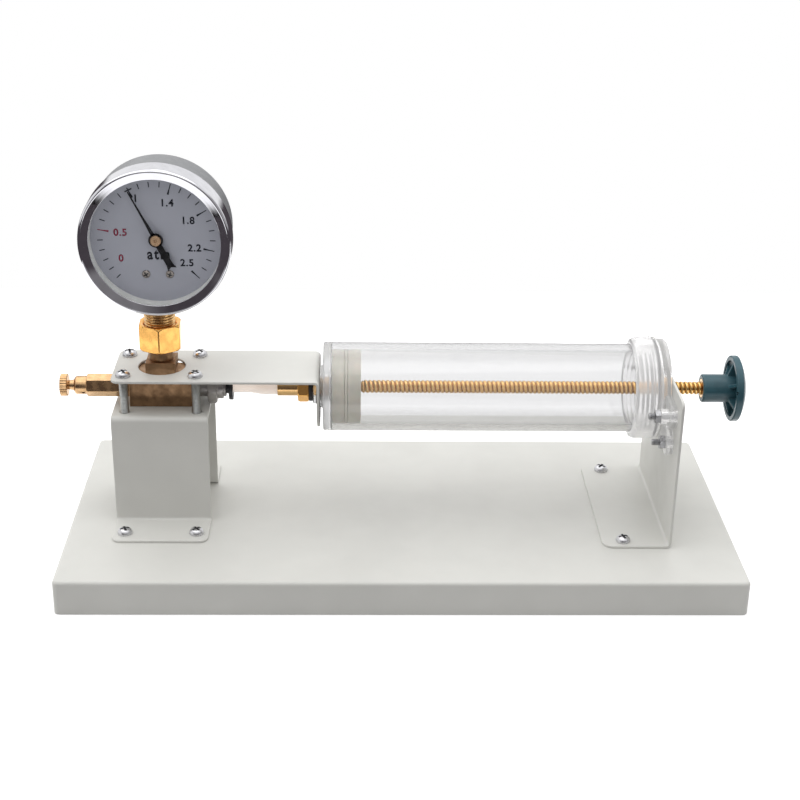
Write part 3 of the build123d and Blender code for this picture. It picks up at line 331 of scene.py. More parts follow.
powderPaint = {
    "colour": (0.675, 0.672, 0.637), "clouds": 30, "shades": (0.975, 1.03), "patches": 9,
    "rough": (0.36, 0.48), "peelGrain": 1.1, "peelDepth": 0.018, "dustGrain": 0.25, "dustDepth": 0.006,
}


def paintedSheet():
    # warm pale grey powder paint with a fine orange peel
    colour = powderPaint["colour"]
    material = startFinish("paintedSheet", colour)
    tintBy(material, colour, powderPaint["clouds"], powderPaint["shades"])
    polishBy(material, powderPaint["patches"], powderPaint["rough"])
    peel = bumpBy(material, powderPaint["peelGrain"], powderPaint["peelDepth"], detail=1)
    bumpBy(material, powderPaint["dustGrain"], powderPaint["dustDepth"], under=peel)
    return material


brass = {
    "clouds": 2.6, "patches": 3.5, "polish": (0.75, 1.35), "scratches": 0.5, "pits": 1.6, "pitShare": 1.5,
}


def brassFinish(name, colour, stretch, rough, mottle=0.10, scratch=0.010):
    # mottled metal with scratches of a given depth, and pits that are a share deeper
    material = startFinish(name, colour, metal=1.0)
    tintBy(material, colour, brass["clouds"], (1 - mottle, 1 + mottle / 2), detail=6)
    polishBy(material, brass["patches"], brass["polish"], rough, detail=5)
    lines = bumpBy(material, brass["scratches"], scratch, 4, stretch)
    bumpBy(material, brass["pits"], scratch * brass["pitShare"], 3, under=lines)
    return material


plating = {"clouds": 4, "shades": (0.9, 1), "patches": 2, "polish": (0.7, 1.4)}


def platedMetal(name, colour, rough, grain=1.2, dent=0.004):
    material = startFinish(name, colour, metal=1.0)
    tintBy(material, colour, plating["clouds"], plating["shades"])
    polishBy(material, plating["patches"], plating["polish"], rough)
    bumpBy(material, grain, dent, 3)
    return material


greyCase = {
    "colour": (0.235, 0.24, 0.25), "metal": 0.35, "clouds": 0.4, "shades": (0.92, 1.06),
    "patches": 6, "rough": (0.40, 0.52), "grain": 0.3, "depth": 0.006,
}


def caseFinish():
    material = startFinish("caseGrey", greyCase["colour"], greyCase["metal"])
    tintBy(material, greyCase["colour"], greyCase["clouds"], greyCase["shades"], detail=3)
    polishBy(material, greyCase["patches"], greyCase["rough"])
    bumpBy(material, greyCase["grain"], greyCase["depth"])
    return material


clearMoulding = {"patches": 14, "polish": (0.5, 1.5), "waves": 9}


def clearFinish(name, colour, rough, ior, waviness, haze=0.0, glow=0.0):
    # moulded clear plastic or glass: the surface is very slightly wavy; a glow, where given, is painted light
    material = startFinish(
        name, colour, rough=rough, Transmission_Weight=1.0 - haze, IOR=ior,
        Emission_Color=(*colour, 1), Emission_Strength=glow,
    )
    polishBy(material, clearMoulding["patches"], clearMoulding["polish"], rough)
    bumpBy(material, clearMoulding["waves"], waviness)
    return material


def tubeFinish():
    # the clear tube, with painted shade along its top, and cloudy at the moulded end wall
    material = clearFinish("tubePlastic", tube["colour"], tube["rough"], plasticIndex, tube["waviness"])
    tree, shader = material.node_tree, shaderOf(material)
    # painted shade: faces that look up are darker
    upward = easedRange(tree, partsOf(tree, "Normal")["Z"], *tube["topShadeFrom"], 0, 1)
    tint = blended(tree, upward, tube["colour"], shaded(tube["colour"], tube["topShadeShare"]))
    wire(tree, tint, shader, "Base Color")
    start, end = (edge * mm for edge in tube["cloudyEdge"])
    along = partsOf(tree, "Object")["X"]
    clear = easedRange(tree, along, start, end, tube["cloudyShare"], tube["clearShare"])
    wire(tree, clear, shader, "Transmission Weight")
    wire(tree, easedRange(tree, along, start, end, tube["cloudyRough"], tube["rough"]), shader, "Roughness")
    return material


milkyHose = {
    "colour": (0.93, 0.87, 0.82), "rough": 0.4, "clear": 0.40, "index": 1.45, "glow": 0.22,
    "streaks": 3, "shades": (0.95, 1.04), "drawn": (0.15, 1, 1),
    "ripples": 1.5, "rippleDepth": 0.01, "ripplesDrawn": (0.1, 1, 1),
}


def hoseFinish():
    # milky tube, drawn out lengthwise; its glow is painted light
    colour = milkyHose["colour"]
    material = startFinish(
        "hosePlastic", colour, rough=milkyHose["rough"], Transmission_Weight=milkyHose["clear"],
        IOR=milkyHose["index"], Emission_Color=(*colour, 1), Emission_Strength=milkyHose["glow"],
    )
    tintBy(material, colour, milkyHose["streaks"], milkyHose["shades"], 3, milkyHose["drawn"])
    bumpBy(material, milkyHose["ripples"], milkyHose["rippleDepth"], stretch=milkyHose["ripplesDrawn"])
    return material


moulding = {"clouds": 7, "patches": 3, "polish": (0.85, 1.2), "grain": 0.35}


def mouldedFinish(name, colour, rough, depth=0.006, vary=0.06, **inputs):
    material = startFinish(name, colour, rough=rough, **inputs)
    tintBy(material, colour, moulding["clouds"], (1 - vary, 1 + vary))
    polishBy(material, moulding["patches"], moulding["polish"], rough)
    bumpBy(material, moulding["grain"], depth)
    return material


plasticIndex = 1.49
glassIndex = 1.12  # low, so that the dial shows through without a veil
finishes = {
    "painted_sheet": paintedSheet(),
    "zinc_steel": platedMetal("chromedScrews", (0.68, 0.68, 0.70), 0.28),
    "dark_steel": platedMetal("darkScrews", (0.40, 0.40, 0.41), 0.34),
    "brass": brassFinish("turnedBrass", (0.74, 0.47, 0.21), (1, 0.12, 0.12), 0.20),
    "tube_bronze": brassFinish("tubeBronze", (0.72, 0.42, 0.22), (0.2, 1, 1), 0.30),
    "movement_brass": brassFinish("movementBrass", (0.84, 0.62, 0.28), (0.1, 1, 1), 0.32),
    "seal_fibre": mouldedFinish("fibreSeal", (0.30, 0.07, 0.04), 0.8, depth=0.03),
    "case_steel": caseFinish(),
    "chrome": platedMetal("chromePlate", (0.73, 0.73, 0.77), 0.07, grain=6, dent=0.003),
    "clear_glass": clearFinish("gaugeGlass", (0.97, 0.985, 0.98), 0.01, glassIndex, 0.001),
    # painted light: the white ring glows a little
    "ring_white": mouldedFinish(
        "whiteRing", (0.88, 0.87, 0.85), 0.45, Emission_Color=(1, 1, 1, 1), Emission_Strength=0.05,
    ),
    "dial_paint": mouldedFinish("dialPaint", (0.435, 0.435, 0.505), 0.38, depth=0.002, vary=0.02),
    "pointer_black": mouldedFinish(
        "pointerBlack", (0.010, 0.009, 0.012), 0.5, depth=0.004, Specular_IOR_Level=0.15,
    ),
    "nickel": platedMetal("nickelPlate", (0.44, 0.42, 0.41), 0.46),
    "black_plastic": mouldedFinish("blackPlastic", (0.015, 0.015, 0.018), 0.4),
    "black_rubber": mouldedFinish("blackRubber", (0.028, 0.025, 0.025), 0.65, depth=0.012),
    "pale_silicone": mouldedFinish("paleSilicone", (0.85, 0.81, 0.70), 0.4),
    "hose_plastic": hoseFinish(),
    "clear_plastic": clearFinish("clearPlastic", (0.975, 0.975, 0.985), 0.03, plasticIndex, 0.006),
    "cream_plastic": mouldedFinish("creamPlastic", (0.86, 0.82, 0.70), 0.32, Subsurface_Weight=0.15),
    "teal_plastic": mouldedFinish("tealPlastic", (0.029, 0.093, 0.118), 0.34, vary=0.10),
}
shaderOf(finishes["cream_plastic"]).inputs["Subsurface Scale"].default_value = 1 * mm

# pieces that look unlike the rest of their slot
nutBrass = brassFinish("unionBrass", (1.0, 0.54, 0.155), (1, 1, 0.35), 0.20, mottle=0.03, scratch=0.005)
valveBrass = brassFinish("valveBrass", (0.66, 0.42, 0.22), (0.12, 1, 1), 0.26, mottle=0.18, scratch=0.012)
columnBrass = brassFinish("columnBrass", (0.33, 0.20, 0.11), (1, 1, 1), 0.40, mottle=0.20, scratch=0.02)
threadZinc = platedMetal("threadZinc", (0.55, 0.56, 0.55), 0.42)
dialScrewSteel = platedMetal("dialScrewSteel", (0.34, 0.30, 0.28), 0.35)
hubBrass = platedMetal("hubBrass", (0.42, 0.27, 0.17), 0.36)
recessShade = mouldedFinish("recessShade", (0.03, 0.03, 0.032), 0.5, depth=0.002)
inkBlack = mouldedFinish("inkBlack", (0.012, 0.013, 0.022), 0.5, depth=0.001, Specular_IOR_Level=0.2)
inkRed = mouldedFinish("inkRed", (0.26, 0.018, 0.05), 0.5, depth=0.001)
print("finishes mixed for", len(finishes), "slots")


def paintRootShade(material, low, high, dark):
    # painted shade in the thread roots: darker metal towards the axis of the air line, between two radii
    tree, shader = material.node_tree, shaderOf(material)
    bright = shader.inputs["Base Color"].links[0].from_socket
    away = addNode(tree, "VectorMath", operation="SUBTRACT")
    away.inputs[1].default_value = (0, lineY * mm, axisZ * mm)
    wire(tree, addNode(tree, "TexCoord").outputs["Object"], away, 0)
    across = addNode(tree, "VectorMath", operation="MULTIPLY")
    across.inputs[1].default_value = (0, 1, 1)
    wire(tree, away.outputs[0], across, 0)
    length = addNode(tree, "VectorMath", operation="LENGTH")
    wire(tree, across.outputs[0], length, 0)
    blend = addNode(tree, "Mix", data_type="RGBA")
    shadeColour, brightColour, mixed = 6, 7, 2  # the mix node's colour sockets
    blend.inputs[shadeColour].default_value = (*dark, 1)
    wire(tree, easedRange(tree, length.outputs["Value"], low * mm, high * mm, 0, 1), blend, 0)
    wire(tree, bright, blend, brightColour)
    wire(tree, blend.outputs[mixed], shader, "Base Color")


# ways of making a piece

making = {
    "weld": 1e-7, "sliver": 1e-8,  # metres
    # degrees
    "flatWithin": 0.15, "smoothBelow": 34, "cutSmoothBelow": 30, "threadSmoothBelow": 50, "easedAbove": 28,
    # a rounded corner: how much of a side it may take, its steps, and the millimetres below which it's left
    "cornerShare": 0.45, "cornerSteps": 3, "tooSmall": 1e-6,
    "runOut": 0.5,  # of the lead, over which a thread fades at its ends
    "boreSteps": 48, "smallSteps": 64,  # steps round bores and round small turned pieces
}


def meshPiece(name, points, faces, place=Matrix.Identity(4), sharpAngle=making["smoothBelow"]):
    # points in millimetres in the piece's own axes; place carries them into the frame
    shape = bmesh.new()
    corners = [shape.verts.new(Vector(point) * mm) for point in points]
    for face in faces:
        distinct = list(dict.fromkeys(face))
        if len(distinct) > 2:
            shape.faces.new([corners[index] for index in distinct])
    bmesh.ops.remove_doubles(shape, verts=shape.verts, dist=making["weld"])
    bmesh.ops.dissolve_degenerate(shape, dist=making["sliver"], edges=shape.edges)
    bmesh.ops.recalc_face_normals(shape, faces=shape.faces)
    data = bpy.data.meshes.new(name)
    shape.to_mesh(data)
    shape.free()
    data.transform(place)
    smoothOver(data, sharpAngle)
    return evenShading(newObject(name, data))


def smoothOver(data, sharpAngle):
    data.shade_smooth()
    data.set_sharp_from_angle(angle=radians(sharpAngle))


def evenShading(piece):
    evened = piece.modifiers.new("evened", "WEIGHTED_NORMAL")
    evened.keep_sharp = True
    return piece


def settle(piece, node, finish=None):
    # gives the piece its finish (its slot's, unless another is given) and body, and hides the CAD node that
    # it stands for
    piece.data.materials.append(finish or finishes[slotOf[node]])
    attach(piece, bodyOf[node])
    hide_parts(node)
    return piece


def prismFaces(count, first=0):
    # both ends and the sides of a prism whose points list one end and then the other
    ends = [range(first, first + count), range(first + 2 * count - 1, first + count - 1, -1)]
    sides = [(side, (side + 1) % count, count + (side + 1) % count, count + side) for side in range(count)]
    return ends + [[first + index for index in side] for side in sides]


def easeEdges(piece, width, sharpAngle=making["easedAbove"]):
    ease = piece.modifiers.new("ease", "BEVEL")
    ease.width = width * mm
    ease.segments = 2
    ease.limit_method = "ANGLE"
    ease.angle_limit = radians(sharpAngle)
    ease.use_clamp_overlap = False
    return evenShading(piece)


def nodeMesh(node, reshape):
    # a clean copy of a CAD node's mesh, its flat faces whole
    shape = bmesh.new()
    shape.from_mesh(cadNodes[node].data)
    if reshape:
        for vert in shape.verts:
            vert.co = reshape(vert.co)
    bmesh.ops.remove_doubles(shape, verts=shape.verts, dist=making["weld"])
    bmesh.ops.dissolve_degenerate(shape, dist=making["sliver"], edges=shape.edges)
    flat = radians(making["flatWithin"])
    bmesh.ops.dissolve_limit(shape, angle_limit=flat, verts=shape.verts, edges=shape.edges)
    points = [vert.co.copy() for vert in shape.verts]
    shape.verts.index_update()
    faces = [[vert.index for vert in face.verts] for face in shape.faces]
    shape.free()
    return points, faces


def softenedNode(name, node, width, sharpAngle=making["easedAbove"], finish=None, reshape=None):
    # a CAD node's shape with its edges broken
    points, faces = nodeMesh(node, reshape)
    data = bpy.data.meshes.new(name)
    data.from_pydata(points, [], faces)
    data.validate()
    smoothOver(data, sharpAngle)
    piece = newObject(name, data)
    easeEdges(piece, width, sharpAngle)
    return settle(piece, node, finish)


def rounded(outline, radius, closed=True):
    # the same outline of (along, radius) points with its corners turned into small arcs
    made = []
    count, steps = len(outline), making["cornerSteps"]
    for index, here in enumerate(outline):
        if not closed and index in (0, count - 1):
            made.append(here)
            continue
        corner = Vector(here)
        before = Vector(outline[index - 1]) - corner
        after = Vector(outline[(index + 1) % count]) - corner
        trim = min(radius, min(before.length, after.length) * making["cornerShare"])
        if min(trim, here[1]) < making["tooSmall"]:
            made.append(here)
            continue
        start = corner + before.normalized() * trim
        end = corner + after.normalized() * trim
        for step in range(steps + 1):
            share = step / steps
            curve = start * (1 - share) ** 2 + corner * 2 * share * (1 - share) + end * share ** 2
            made.append((curve.x, curve.y))
    return made


def section(start, end, inner, outer):
    # the outline of a disc, or of a ring
    return [(start, inner), (start, outer), (end, outer), (end, inner)]


def lathed(name, outline, place, steps=128, closed=True, sharpAngle=making["smoothBelow"]):
    # outline of (along, radius) points, or of functions of the turn's share that give them
    points = []
    for step in range(steps):
        share = step / steps
        angle = share * 2 * pi
        for row in outline:
            along, radius = row(share) if callable(row) else row
            points.append((radius * cos(angle), radius * sin(angle), along))
    rows = len(outline)
    faces = []
    for step in range(steps):
        following = (step + 1) % steps
        for row in range(rows if closed else rows - 1):
            below, above = row, (row + 1) % rows
            faces.append((
                step * rows + below, step * rows + above,
                following * rows + above, following * rows + below,
            ))
    return meshPiece(name, points, faces, place, sharpAngle)


def helixBar(name, start, end, crest, depth, lead, profile, place, steps):
    # a threaded bar: the profile gives the share of the depth at even steps along one turn
    perTurn = len(profile)
    turns = ceil((end - start) / lead) + 2
    rows = turns * perTurn
    root = crest - depth

    def rowPoint(row, step):
        along = start + (row / perTurn - 1 + step / steps) * lead
        radius = root + depth * profile[row % perTurn]
        if along <= start or along >= end:
            along = min(max(along, start), end)
            radius = root
        ease = min(along - start, end - along) / (lead * making["runOut"])
        if ease < 1:
            radius = root + (radius - root) * ease
        angle = step / steps * 2 * pi
        return radius * cos(angle), radius * sin(angle), along

    points = [rowPoint(row, step) for row in range(rows) for step in range(steps)]
    faces = []
    for row in range(rows - 1):
        for step in range(steps):
            wraps = step + 1 == steps
            lift = perTurn if wraps else 0
            near = 0 if wraps else step + 1
            if row + 1 + lift < rows:
                faces.append((
                    row * steps + step, (row + lift) * steps + near,
                    (row + 1 + lift) * steps + near, (row + 1) * steps + step,
                ))
    for along in (start, end):
        points.append((0, 0, along))
    low, high = len(points) - 2, len(points) - 1
    for step in range(steps):
        near = (step + 1) % steps
        faces.append((low, near, step))
        faces.append((high, (rows - 1) * steps + step, (rows - 1) * steps + near))
    return meshPiece(name, points, faces, place, making["threadSmoothBelow"])


def joined(name, *pieces):
    # several meshes made one
    shape = bmesh.new()
    for piece in pieces:
        shape.from_mesh(piece.data)
    data = bpy.data.meshes.new(name)
    shape.to_mesh(data)
    shape.free()
    for piece in pieces:
        bpy.data.objects.remove(piece)
    return newObject(name, data)


def cutBy(piece, cutter):
    # boolean difference, applied
    cut = piece.modifiers.new("cut", "BOOLEAN")
    cut.operation = "DIFFERENCE"
    cut.solver = "EXACT"
    cut.object = cutter
    bpy.context.view_layer.update()
    graph = bpy.context.evaluated_depsgraph_get()
    data = bpy.data.meshes.new_from_object(piece.evaluated_get(graph))
    piece.modifiers.clear()
    piece.data = data
    bpy.data.objects.remove(cutter)
    smoothOver(data, making["cutSmoothBelow"])
    return piece


def looseBoxes(node):
    # the box of each separate solid of a CAD node, in millimetres
    shape = bmesh.new()
    shape.from_mesh(cadNodes[node].data)
    bmesh.ops.remove_doubles(shape, verts=shape.verts, dist=making["weld"])
    left = set(shape.verts)
    boxes = []
    while left:
        island, waiting = [], [left.pop()]
        while waiting:
            vert = waiting.pop()
            island.append(vert.co / mm)
            for edge in vert.link_edges:
                other = edge.other_vert(vert)
                if other in left:
                    left.remove(other)
                    waiting.append(other)
        low = Vector([min(point[axis] for point in island) for axis in range(3)])
        high = Vector([max(point[axis] for point in island) for axis in range(3)])
        boxes.append((low, high))
    shape.free()
    return sorted(boxes, key=lambda pair: (round(pair[0].x, 2), round(pair[0].y, 2)))


# folded sheet metal

sheetMetal = {"easing": 0.28, "brokenAngle": 40}

for pieceName, nodeName in (
    ("baseTray", "base_tray"), ("towerBracket", "tower_bracket"),
    ("topPlate", "top_plate"), ("endBracket", "end_bracket"),
):
    softenedNode(pieceName, nodeName, sheetMetal["easing"], sheetMetal["brokenAngle"])
print("sheet metal folded")


# screws and nuts

panHead = {
    "m4": {"headRadius": 3.3, "headHeight": 2.6, "shank": 2.0, "pitch": 0.7},
    "m3": {"headRadius": 2.8, "headHeight": 1.8, "shank": 1.5, "pitch": 0.5},
    "dial": {"headRadius": 1.8, "headHeight": 0.9, "shank": 0.8, "pitch": 0.35},
}
# shares of the head's height and radius, with the dome's points in degrees
headShape = {"foot": 0.3, "rim": 0.16, "crown": 0.30, "slack": 0.97, "dome": range(0, 85, 12)}
recess = {
    "reach": 0.62, "reachBelow": 0.30, "width": 0.32, "widthBelow": 0.20, "depth": 0.72, "past": 1.2,
    "margin": 1.01, "shadedAbove": 0.15,
}
screwThread = {"depth": 0.5, "profile": (0.0, 0.55, 1.0, 0.55), "overlap": 0.02, "steps": 20}
headAims = {
    # the axis that the screws lie along, whether the heads are at its high end, and how they're turned
    "up": (2, True, Matrix.Identity(4)), "right": (0, True, turned(90, "Y")),
    "front": (1, False, turned(90, "X")),
}
nutEasing = 0.12


def recessBar(radius, height, turn):
    # one bar of the cross that is cut into a head, narrower below
    bottom = (height * (1 - recess["depth"]), recess["reachBelow"], recess["widthBelow"])
    top = (height * recess["past"], recess["reach"], recess["width"])
    points = []
    for level, reachHere, widthHere in (bottom, top):
        for sx, sy in ((-1, -1), (1, -1), (1, 1), (-1, 1)):
            point = Vector((sx * radius * reachHere, sy * radius * widthHere / 2, level))
            point.rotate(Matrix.Rotation(turn, 3, "Z"))
            points.append(point)
    return meshPiece("recessCutter", points, prismFaces(4))


def panHeadMesh(size):
    # the seat of the head is at 0 and it points up
    radius, height = size["headRadius"], size["headHeight"]
    rim, crown = height * headShape["rim"], headShape["crown"]
    dome = [
        (rim + (height - rim) * sin(turn), radius * (crown + (1 - crown) * cos(turn)))
        for turn in map(radians, headShape["dome"])
    ]
    foot, slack = rim * headShape["foot"], radius * headShape["slack"]
    outline = [(0, 0), (0, slack), (foot, radius), *dome, (height, 0)]
    head = lathed("panHead", outline, Matrix.Identity(4), making["smallSteps"], closed=False)
    for turn in (0, pi / 2):
        head = cutBy(head, recessBar(radius, height, turn))
    width, farthest = (recess[name] * recess["margin"] for name in ("width", "reach"))
    for face in head.data.polygons:
        x, y = (abs(value) / (radius * mm) for value in face.center[:2])
        inCross = min(x, y) < width / 2 and max(x, y) < farthest
        face.material_index = int(inCross and face.center.z > height * mm * recess["shadedAbove"])
    return head


def screwMesh(size, length):
    # shank below the seat, thread all the way
    thread = helixBar(
        "shank", -length, screwThread["overlap"], size["shank"], size["pitch"] * screwThread["depth"],
        size["pitch"], screwThread["profile"], Matrix.Identity(4), screwThread["steps"],
    )
    for face in thread.data.polygons:
        face.material_index = 2
    return joined("screw", panHeadMesh(size), thread)


def placeScrews(node, size, finish=None, heads="up", turns=(20, 65, 40, 80)):
    # one screw for each solid of the node, its head up, to the right or towards the viewer of the dial
    patterns = {}
    axis, atHigh, aim = headAims[heads]
    height = size["headHeight"]
    for number, (low, high) in enumerate(looseBoxes(node)):
        seat = (low + high) / 2
        seat[axis] = high[axis] - height if atHigh else low[axis] + height
        shankLength = high[axis] - low[axis] - height
        alike = round(shankLength, 2)
        if alike not in patterns:
            patterns[alike] = screwMesh(size, shankLength)
        data = patterns[alike].data.copy()
        data.transform(shifted(*seat) @ aim @ turned(turns[number % len(turns)], "Z"))
        smoothOver(data, making["cutSmoothBelow"])
        screw = settle(newObject(node + "_" + str(number + 1), data), node, finish)
        screw.data.materials.append(recessShade)
        screw.data.materials.append(finish or threadZinc)
    for pattern in patterns.values():
        bpy.data.objects.remove(pattern)


placeScrews("tower_foot_screws", panHead["m4"])
placeScrews("clamp_screws", panHead["m4"], turns=(28, 12, 50, 35))
placeScrews("bracket_foot_screws", panHead["m4"], turns=(15, 55))
placeScrews("cap_screws", panHead["m3"], finishes["dark_steel"], "right")
placeScrews("dial_screws", panHead["dial"], dialScrewSteel, "front", turns=(30, 70))
for nodeName in ("tower_foot_nuts", "clamp_nuts", "bracket_foot_nuts", "cap_nuts"):
    softenedNode(nodeName + "_turned", nodeName, nutEasing)
print("screws and nuts in place")


# brass air line

airLine = {"easing": 0.22, "plateThickness": 1.2, "bore": 2.0, "port": 4.0, "portDepth": 5.5, "past": 1}
fittings = (
    # piece, CAD node, how far its edges are broken, finish if not its slot's
    ("unionTail", "union_tail", airLine["easing"], columnBrass), ("unionNut", "union_nut", 0.35, nutBrass),
    ("bleedBody", "bleed_valve_body", 0.16, valveBrass), ("hoseFitting", "hose_fitting", 0.2, None),
    ("releaseCollar", "release_collar", 0.2, None), ("nippleBody", "barb_nipple", 0.12, None),
    ("nippleNut", "nipple_nut", 0.2, nutBrass), ("rubberWasher", "rubber_washer", 0.35, None),
    ("clearWasher", "clear_washer", 0.1, None), ("rodNut", "rod_nut", 0.15, None),
    ("hoseTube", "hose", 0.25, None),
)


def makeManifold():
    # block and column are one front: a T drawn in x and z and carried through the depth, then bored
    left, right = reach("manifold_block", "x")
    bottom, top = reach("manifold_block", "z")
    half = radiusOf("manifold_block", "y")
    shoulder = reach("top_plate", "z")[1] - airLine["plateThickness"]
    bore, port, depth = airLine["bore"], airLine["port"], airLine["portDepth"]
    profile = [
        (left, bottom), (right, bottom), (right, shoulder), (towerX + half, shoulder), (towerX + half, top),
        (towerX - half, top), (towerX - half, shoulder), (left, shoulder),
    ]
    points = [(x, lineY + side, z) for side in (-half, half) for x, z in profile]
    block = meshPiece("manifoldBlock", points, prismFaces(len(profile)))
    before, after, above = left - airLine["past"], right + airLine["past"], top + airLine["past"]
    ends = [
        (before, 0), (before, port), (left + depth, port), (left + depth, bore),
        (right - depth, bore), (right - depth, port), (after, port), (after, 0),
    ]
    riser = [(axisZ, 0), (axisZ, bore), (top - depth, bore), (top - depth, port), (above, port), (above, 0)]
    for name, outline, place in (("lineBore", ends, alongLine), ("riserBore", riser, upTower)):
        block = cutBy(block, lathed(name, outline, place, making["boreSteps"], closed=False))
    easeEdges(block, airLine["easing"])
    settle(block, "manifold_block", columnBrass)


stem = {
    "core": 6.3, "crest": 6.9, "threadDepth": 0.55, "lead": 1.25, "profile": (0.0, 0.5, 1.0, 1.0, 0.5, 0.0),
    "easing": 0.1, "shoulder": reach("gauge_bezel", "z")[0], "shoulderGap": 0.35, "steps": 72,
}


def slimStem(point):
    # the stem's plain part is drawn in to its thread's root
    across = Vector((point.x / mm - towerX, point.y / mm - lineY))
    if point.z / mm < stem["shoulder"] and across.length > stem["core"]:
        across *= stem["core"] / across.length
        return Vector(((across.x + towerX) * mm, (across.y + lineY) * mm, point.z))
    return point


def makeStem():
    softenedNode("gaugeStem", "gauge_stem", stem["easing"], reshape=slimStem)
    thread = helixBar(
        "stemThread", reach("gauge_stem", "z")[0], stem["shoulder"] - stem["shoulderGap"],
        stem["crest"], stem["threadDepth"], stem["lead"], stem["profile"], upTower, stem["steps"],
    )
    settle(thread, "gauge_stem")


bleedKnob = {
    "ridges": 26, "stepsPerRidge": 8, "ridgeDepth": 0.28, "knobLength": 3.4, "easing": 0.3, "smoothBelow": 40,
    "button": 1.2, "buttonFoot": 1.5, "dishDepth": 0.25, "dishRim": 1.1, "rimWidth": 0.2, "rimDepth": 0.1,
    "rimInset": 0.36, "backRim": 1.2, "backInset": 0.05, "neckNearKnob": 2.0, "neckLength": 2.4,
    "shankRadius": 2.45, "tipRadius": 0.9, "tipLength": 1.2,
}


def makeBleedScrew():
    left, right = reach("bleed_screw", "x")
    radius = radiusOf("bleed_screw", "z")
    length, ease = bleedKnob["knobLength"], bleedKnob["easing"]

    def ridged(along, inset):
        def at(share):
            wave = 0.5 + 0.5 * cos(share * 2 * pi * bleedKnob["ridges"])
            return along, radius - inset - bleedKnob["ridgeDepth"] * (1 - wave)
        return at

    neck, dish, tip = left + length, radius - bleedKnob["dishRim"], right - bleedKnob["tipLength"]
    rim, shank, thin = left + bleedKnob["rimDepth"], bleedKnob["shankRadius"], bleedKnob["tipRadius"]
    outline = [
        (left, 0), (left, bleedKnob["button"]), (left + bleedKnob["dishDepth"], bleedKnob["buttonFoot"]),
        (rim, dish), (left, dish + bleedKnob["rimWidth"]),
        ridged(rim, bleedKnob["rimInset"]), ridged(left + ease, 0.0), ridged(neck - ease, 0.0),
        ridged(neck - bleedKnob["backInset"], ease), (neck, radius - bleedKnob["backRim"]),
        (neck, bleedKnob["neckNearKnob"]), (neck + bleedKnob["neckLength"], shank),
        (tip, shank), (tip, thin), (right, thin), (right, 0),
    ]
    steps, smoothBelow = bleedKnob["ridges"] * bleedKnob["stepsPerRidge"], bleedKnob["smoothBelow"]
    screw = lathed("bleedKnob", outline, alongLine, steps, closed=False, sharpAngle=smoothBelow)
    settle(screw, "bleed_screw", valveBrass)


makeManifold()
for pieceName, nodeName, easing, ownFinish in fittings:
    softenedNode(pieceName, nodeName, easing, finish=ownFinish)
makeStem()
makeBleedScrew()
print("air line made")


# pressure gauge

gauge = {
    "caseRadius": 31.0, "caseWall": 0.7, "caseLip": 1, "caseRounding": 3.2, "caseSteps": 160,
    "backDish": 9.0, "dishSlope": 1.5, "backDepth": 0.5, "notchRadius": 5.4, "notchDepth": (-40, -20),
    "glassEdge": 0.2, "ringInside": 28.4, "ringTaper": 0.15, "ringEdge": 0.15,
}
bezelShape = {
    "opening": 28.0, "lip": 1.6, "wall": 0.5, "play": 0.1, "rounding": 0.14, "steps": 192,
    # points as distances from the back or front and from the outside, the face or the opening
    "backEdge": (0.4, 0.35), "rim": ((1.5, 0), (0.75, 0.12), (0.25, 0.5)),
    "face": 31.45, "faceEdge": (0.18, 0.3), "slope": ((0.75, 1.5), (1.22, 0.1), (1.35, 0)),
}


def makeBezel():
    front, back = reach("gauge_bezel", "y")
    radius = radiusOf("gauge_bezel", "z")
    seat, backSeat = front + bezelShape["lip"], back - bezelShape["wall"]
    inside = radius - bezelShape["wall"]
    opening, onCase = bezelShape["opening"], gauge["caseRadius"] + bezelShape["play"]
    (ahead, inward), (behind, faceInward) = bezelShape["backEdge"], bezelShape["faceEdge"]
    outline = [
        (back, onCase), (back, radius - inward), (back - ahead, radius),
        *[(front + depth, radius - inset) for depth, inset in bezelShape["rim"]],
        (front, bezelShape["face"]), (front + behind, bezelShape["face"] - faceInward),
        *[(front + depth, opening + outset) for depth, outset in bezelShape["slope"]],
        (seat, opening), (seat, inside), (backSeat, inside), (backSeat, onCase),
    ]
    bezel = lathed("chromeBezel", rounded(outline, bezelShape["rounding"]), intoGauge, bezelShape["steps"])
    settle(bezel, "gauge_bezel")


def makeCase():
    back, dialBack = (reach(node, "y")[1] for node in ("gauge_case", "gauge_dial"))
    flange = radiusOf("gauge_glass", "z")
    radius, wall, turn = gauge["caseRadius"], gauge["caseWall"], gauge["caseRounding"]
    bore, lip = radius - wall, radius - wall - gauge["caseLip"]
    dish, inner = radius - gauge["backDish"], back - gauge["backDepth"]
    outline = [
        (dialBack, lip), (dialBack, flange), (dialBack + wall, flange), (dialBack + wall, radius),
        *[
            (back - turn + turn * sin(radians(angle)), radius - turn + turn * cos(radians(angle)))
            for angle in range(0, 91, 10)
        ],
        (back, dish), (inner, dish - gauge["dishSlope"]), (inner, 0),
        (inner - wall, 0), (inner - wall, bore - turn), (back - turn, bore),
        (dialBack + wall, bore), (dialBack + wall, lip),
    ]
    case = lathed("gaugeCase", outline, intoGauge, gauge["caseSteps"])
    outline = section(*gauge["notchDepth"], 0, gauge["notchRadius"])
    place = shifted(towerX, lineY, gaugeZ)
    notch = lathed("stemNotch", outline, place, making["boreSteps"], closed=False)
    settle(cutBy(case, notch), "gauge_case")


def makeGlassAndRing():
    front, back = reach("gauge_glass", "y")
    radius = radiusOf("gauge_glass", "z")
    glass = rounded(section(front, back, 0, radius), gauge["glassEdge"], closed=False)
    settle(lathed("gaugeGlass", glass, intoGauge, closed=False), "gauge_glass")
    front, back = reach("dial_ring", "y")
    inside, backInside = gauge["ringInside"], gauge["ringInside"] - gauge["ringTaper"]
    outline = [(front, inside), (front, radius), (back, radius), (back, backInside)]
    settle(lathed("whiteRing", rounded(outline, gauge["ringEdge"]), intoGauge), "dial_ring")


makeBezel()
makeCase()
makeGlassAndRing()
print("gauge case, bezel and glass made")

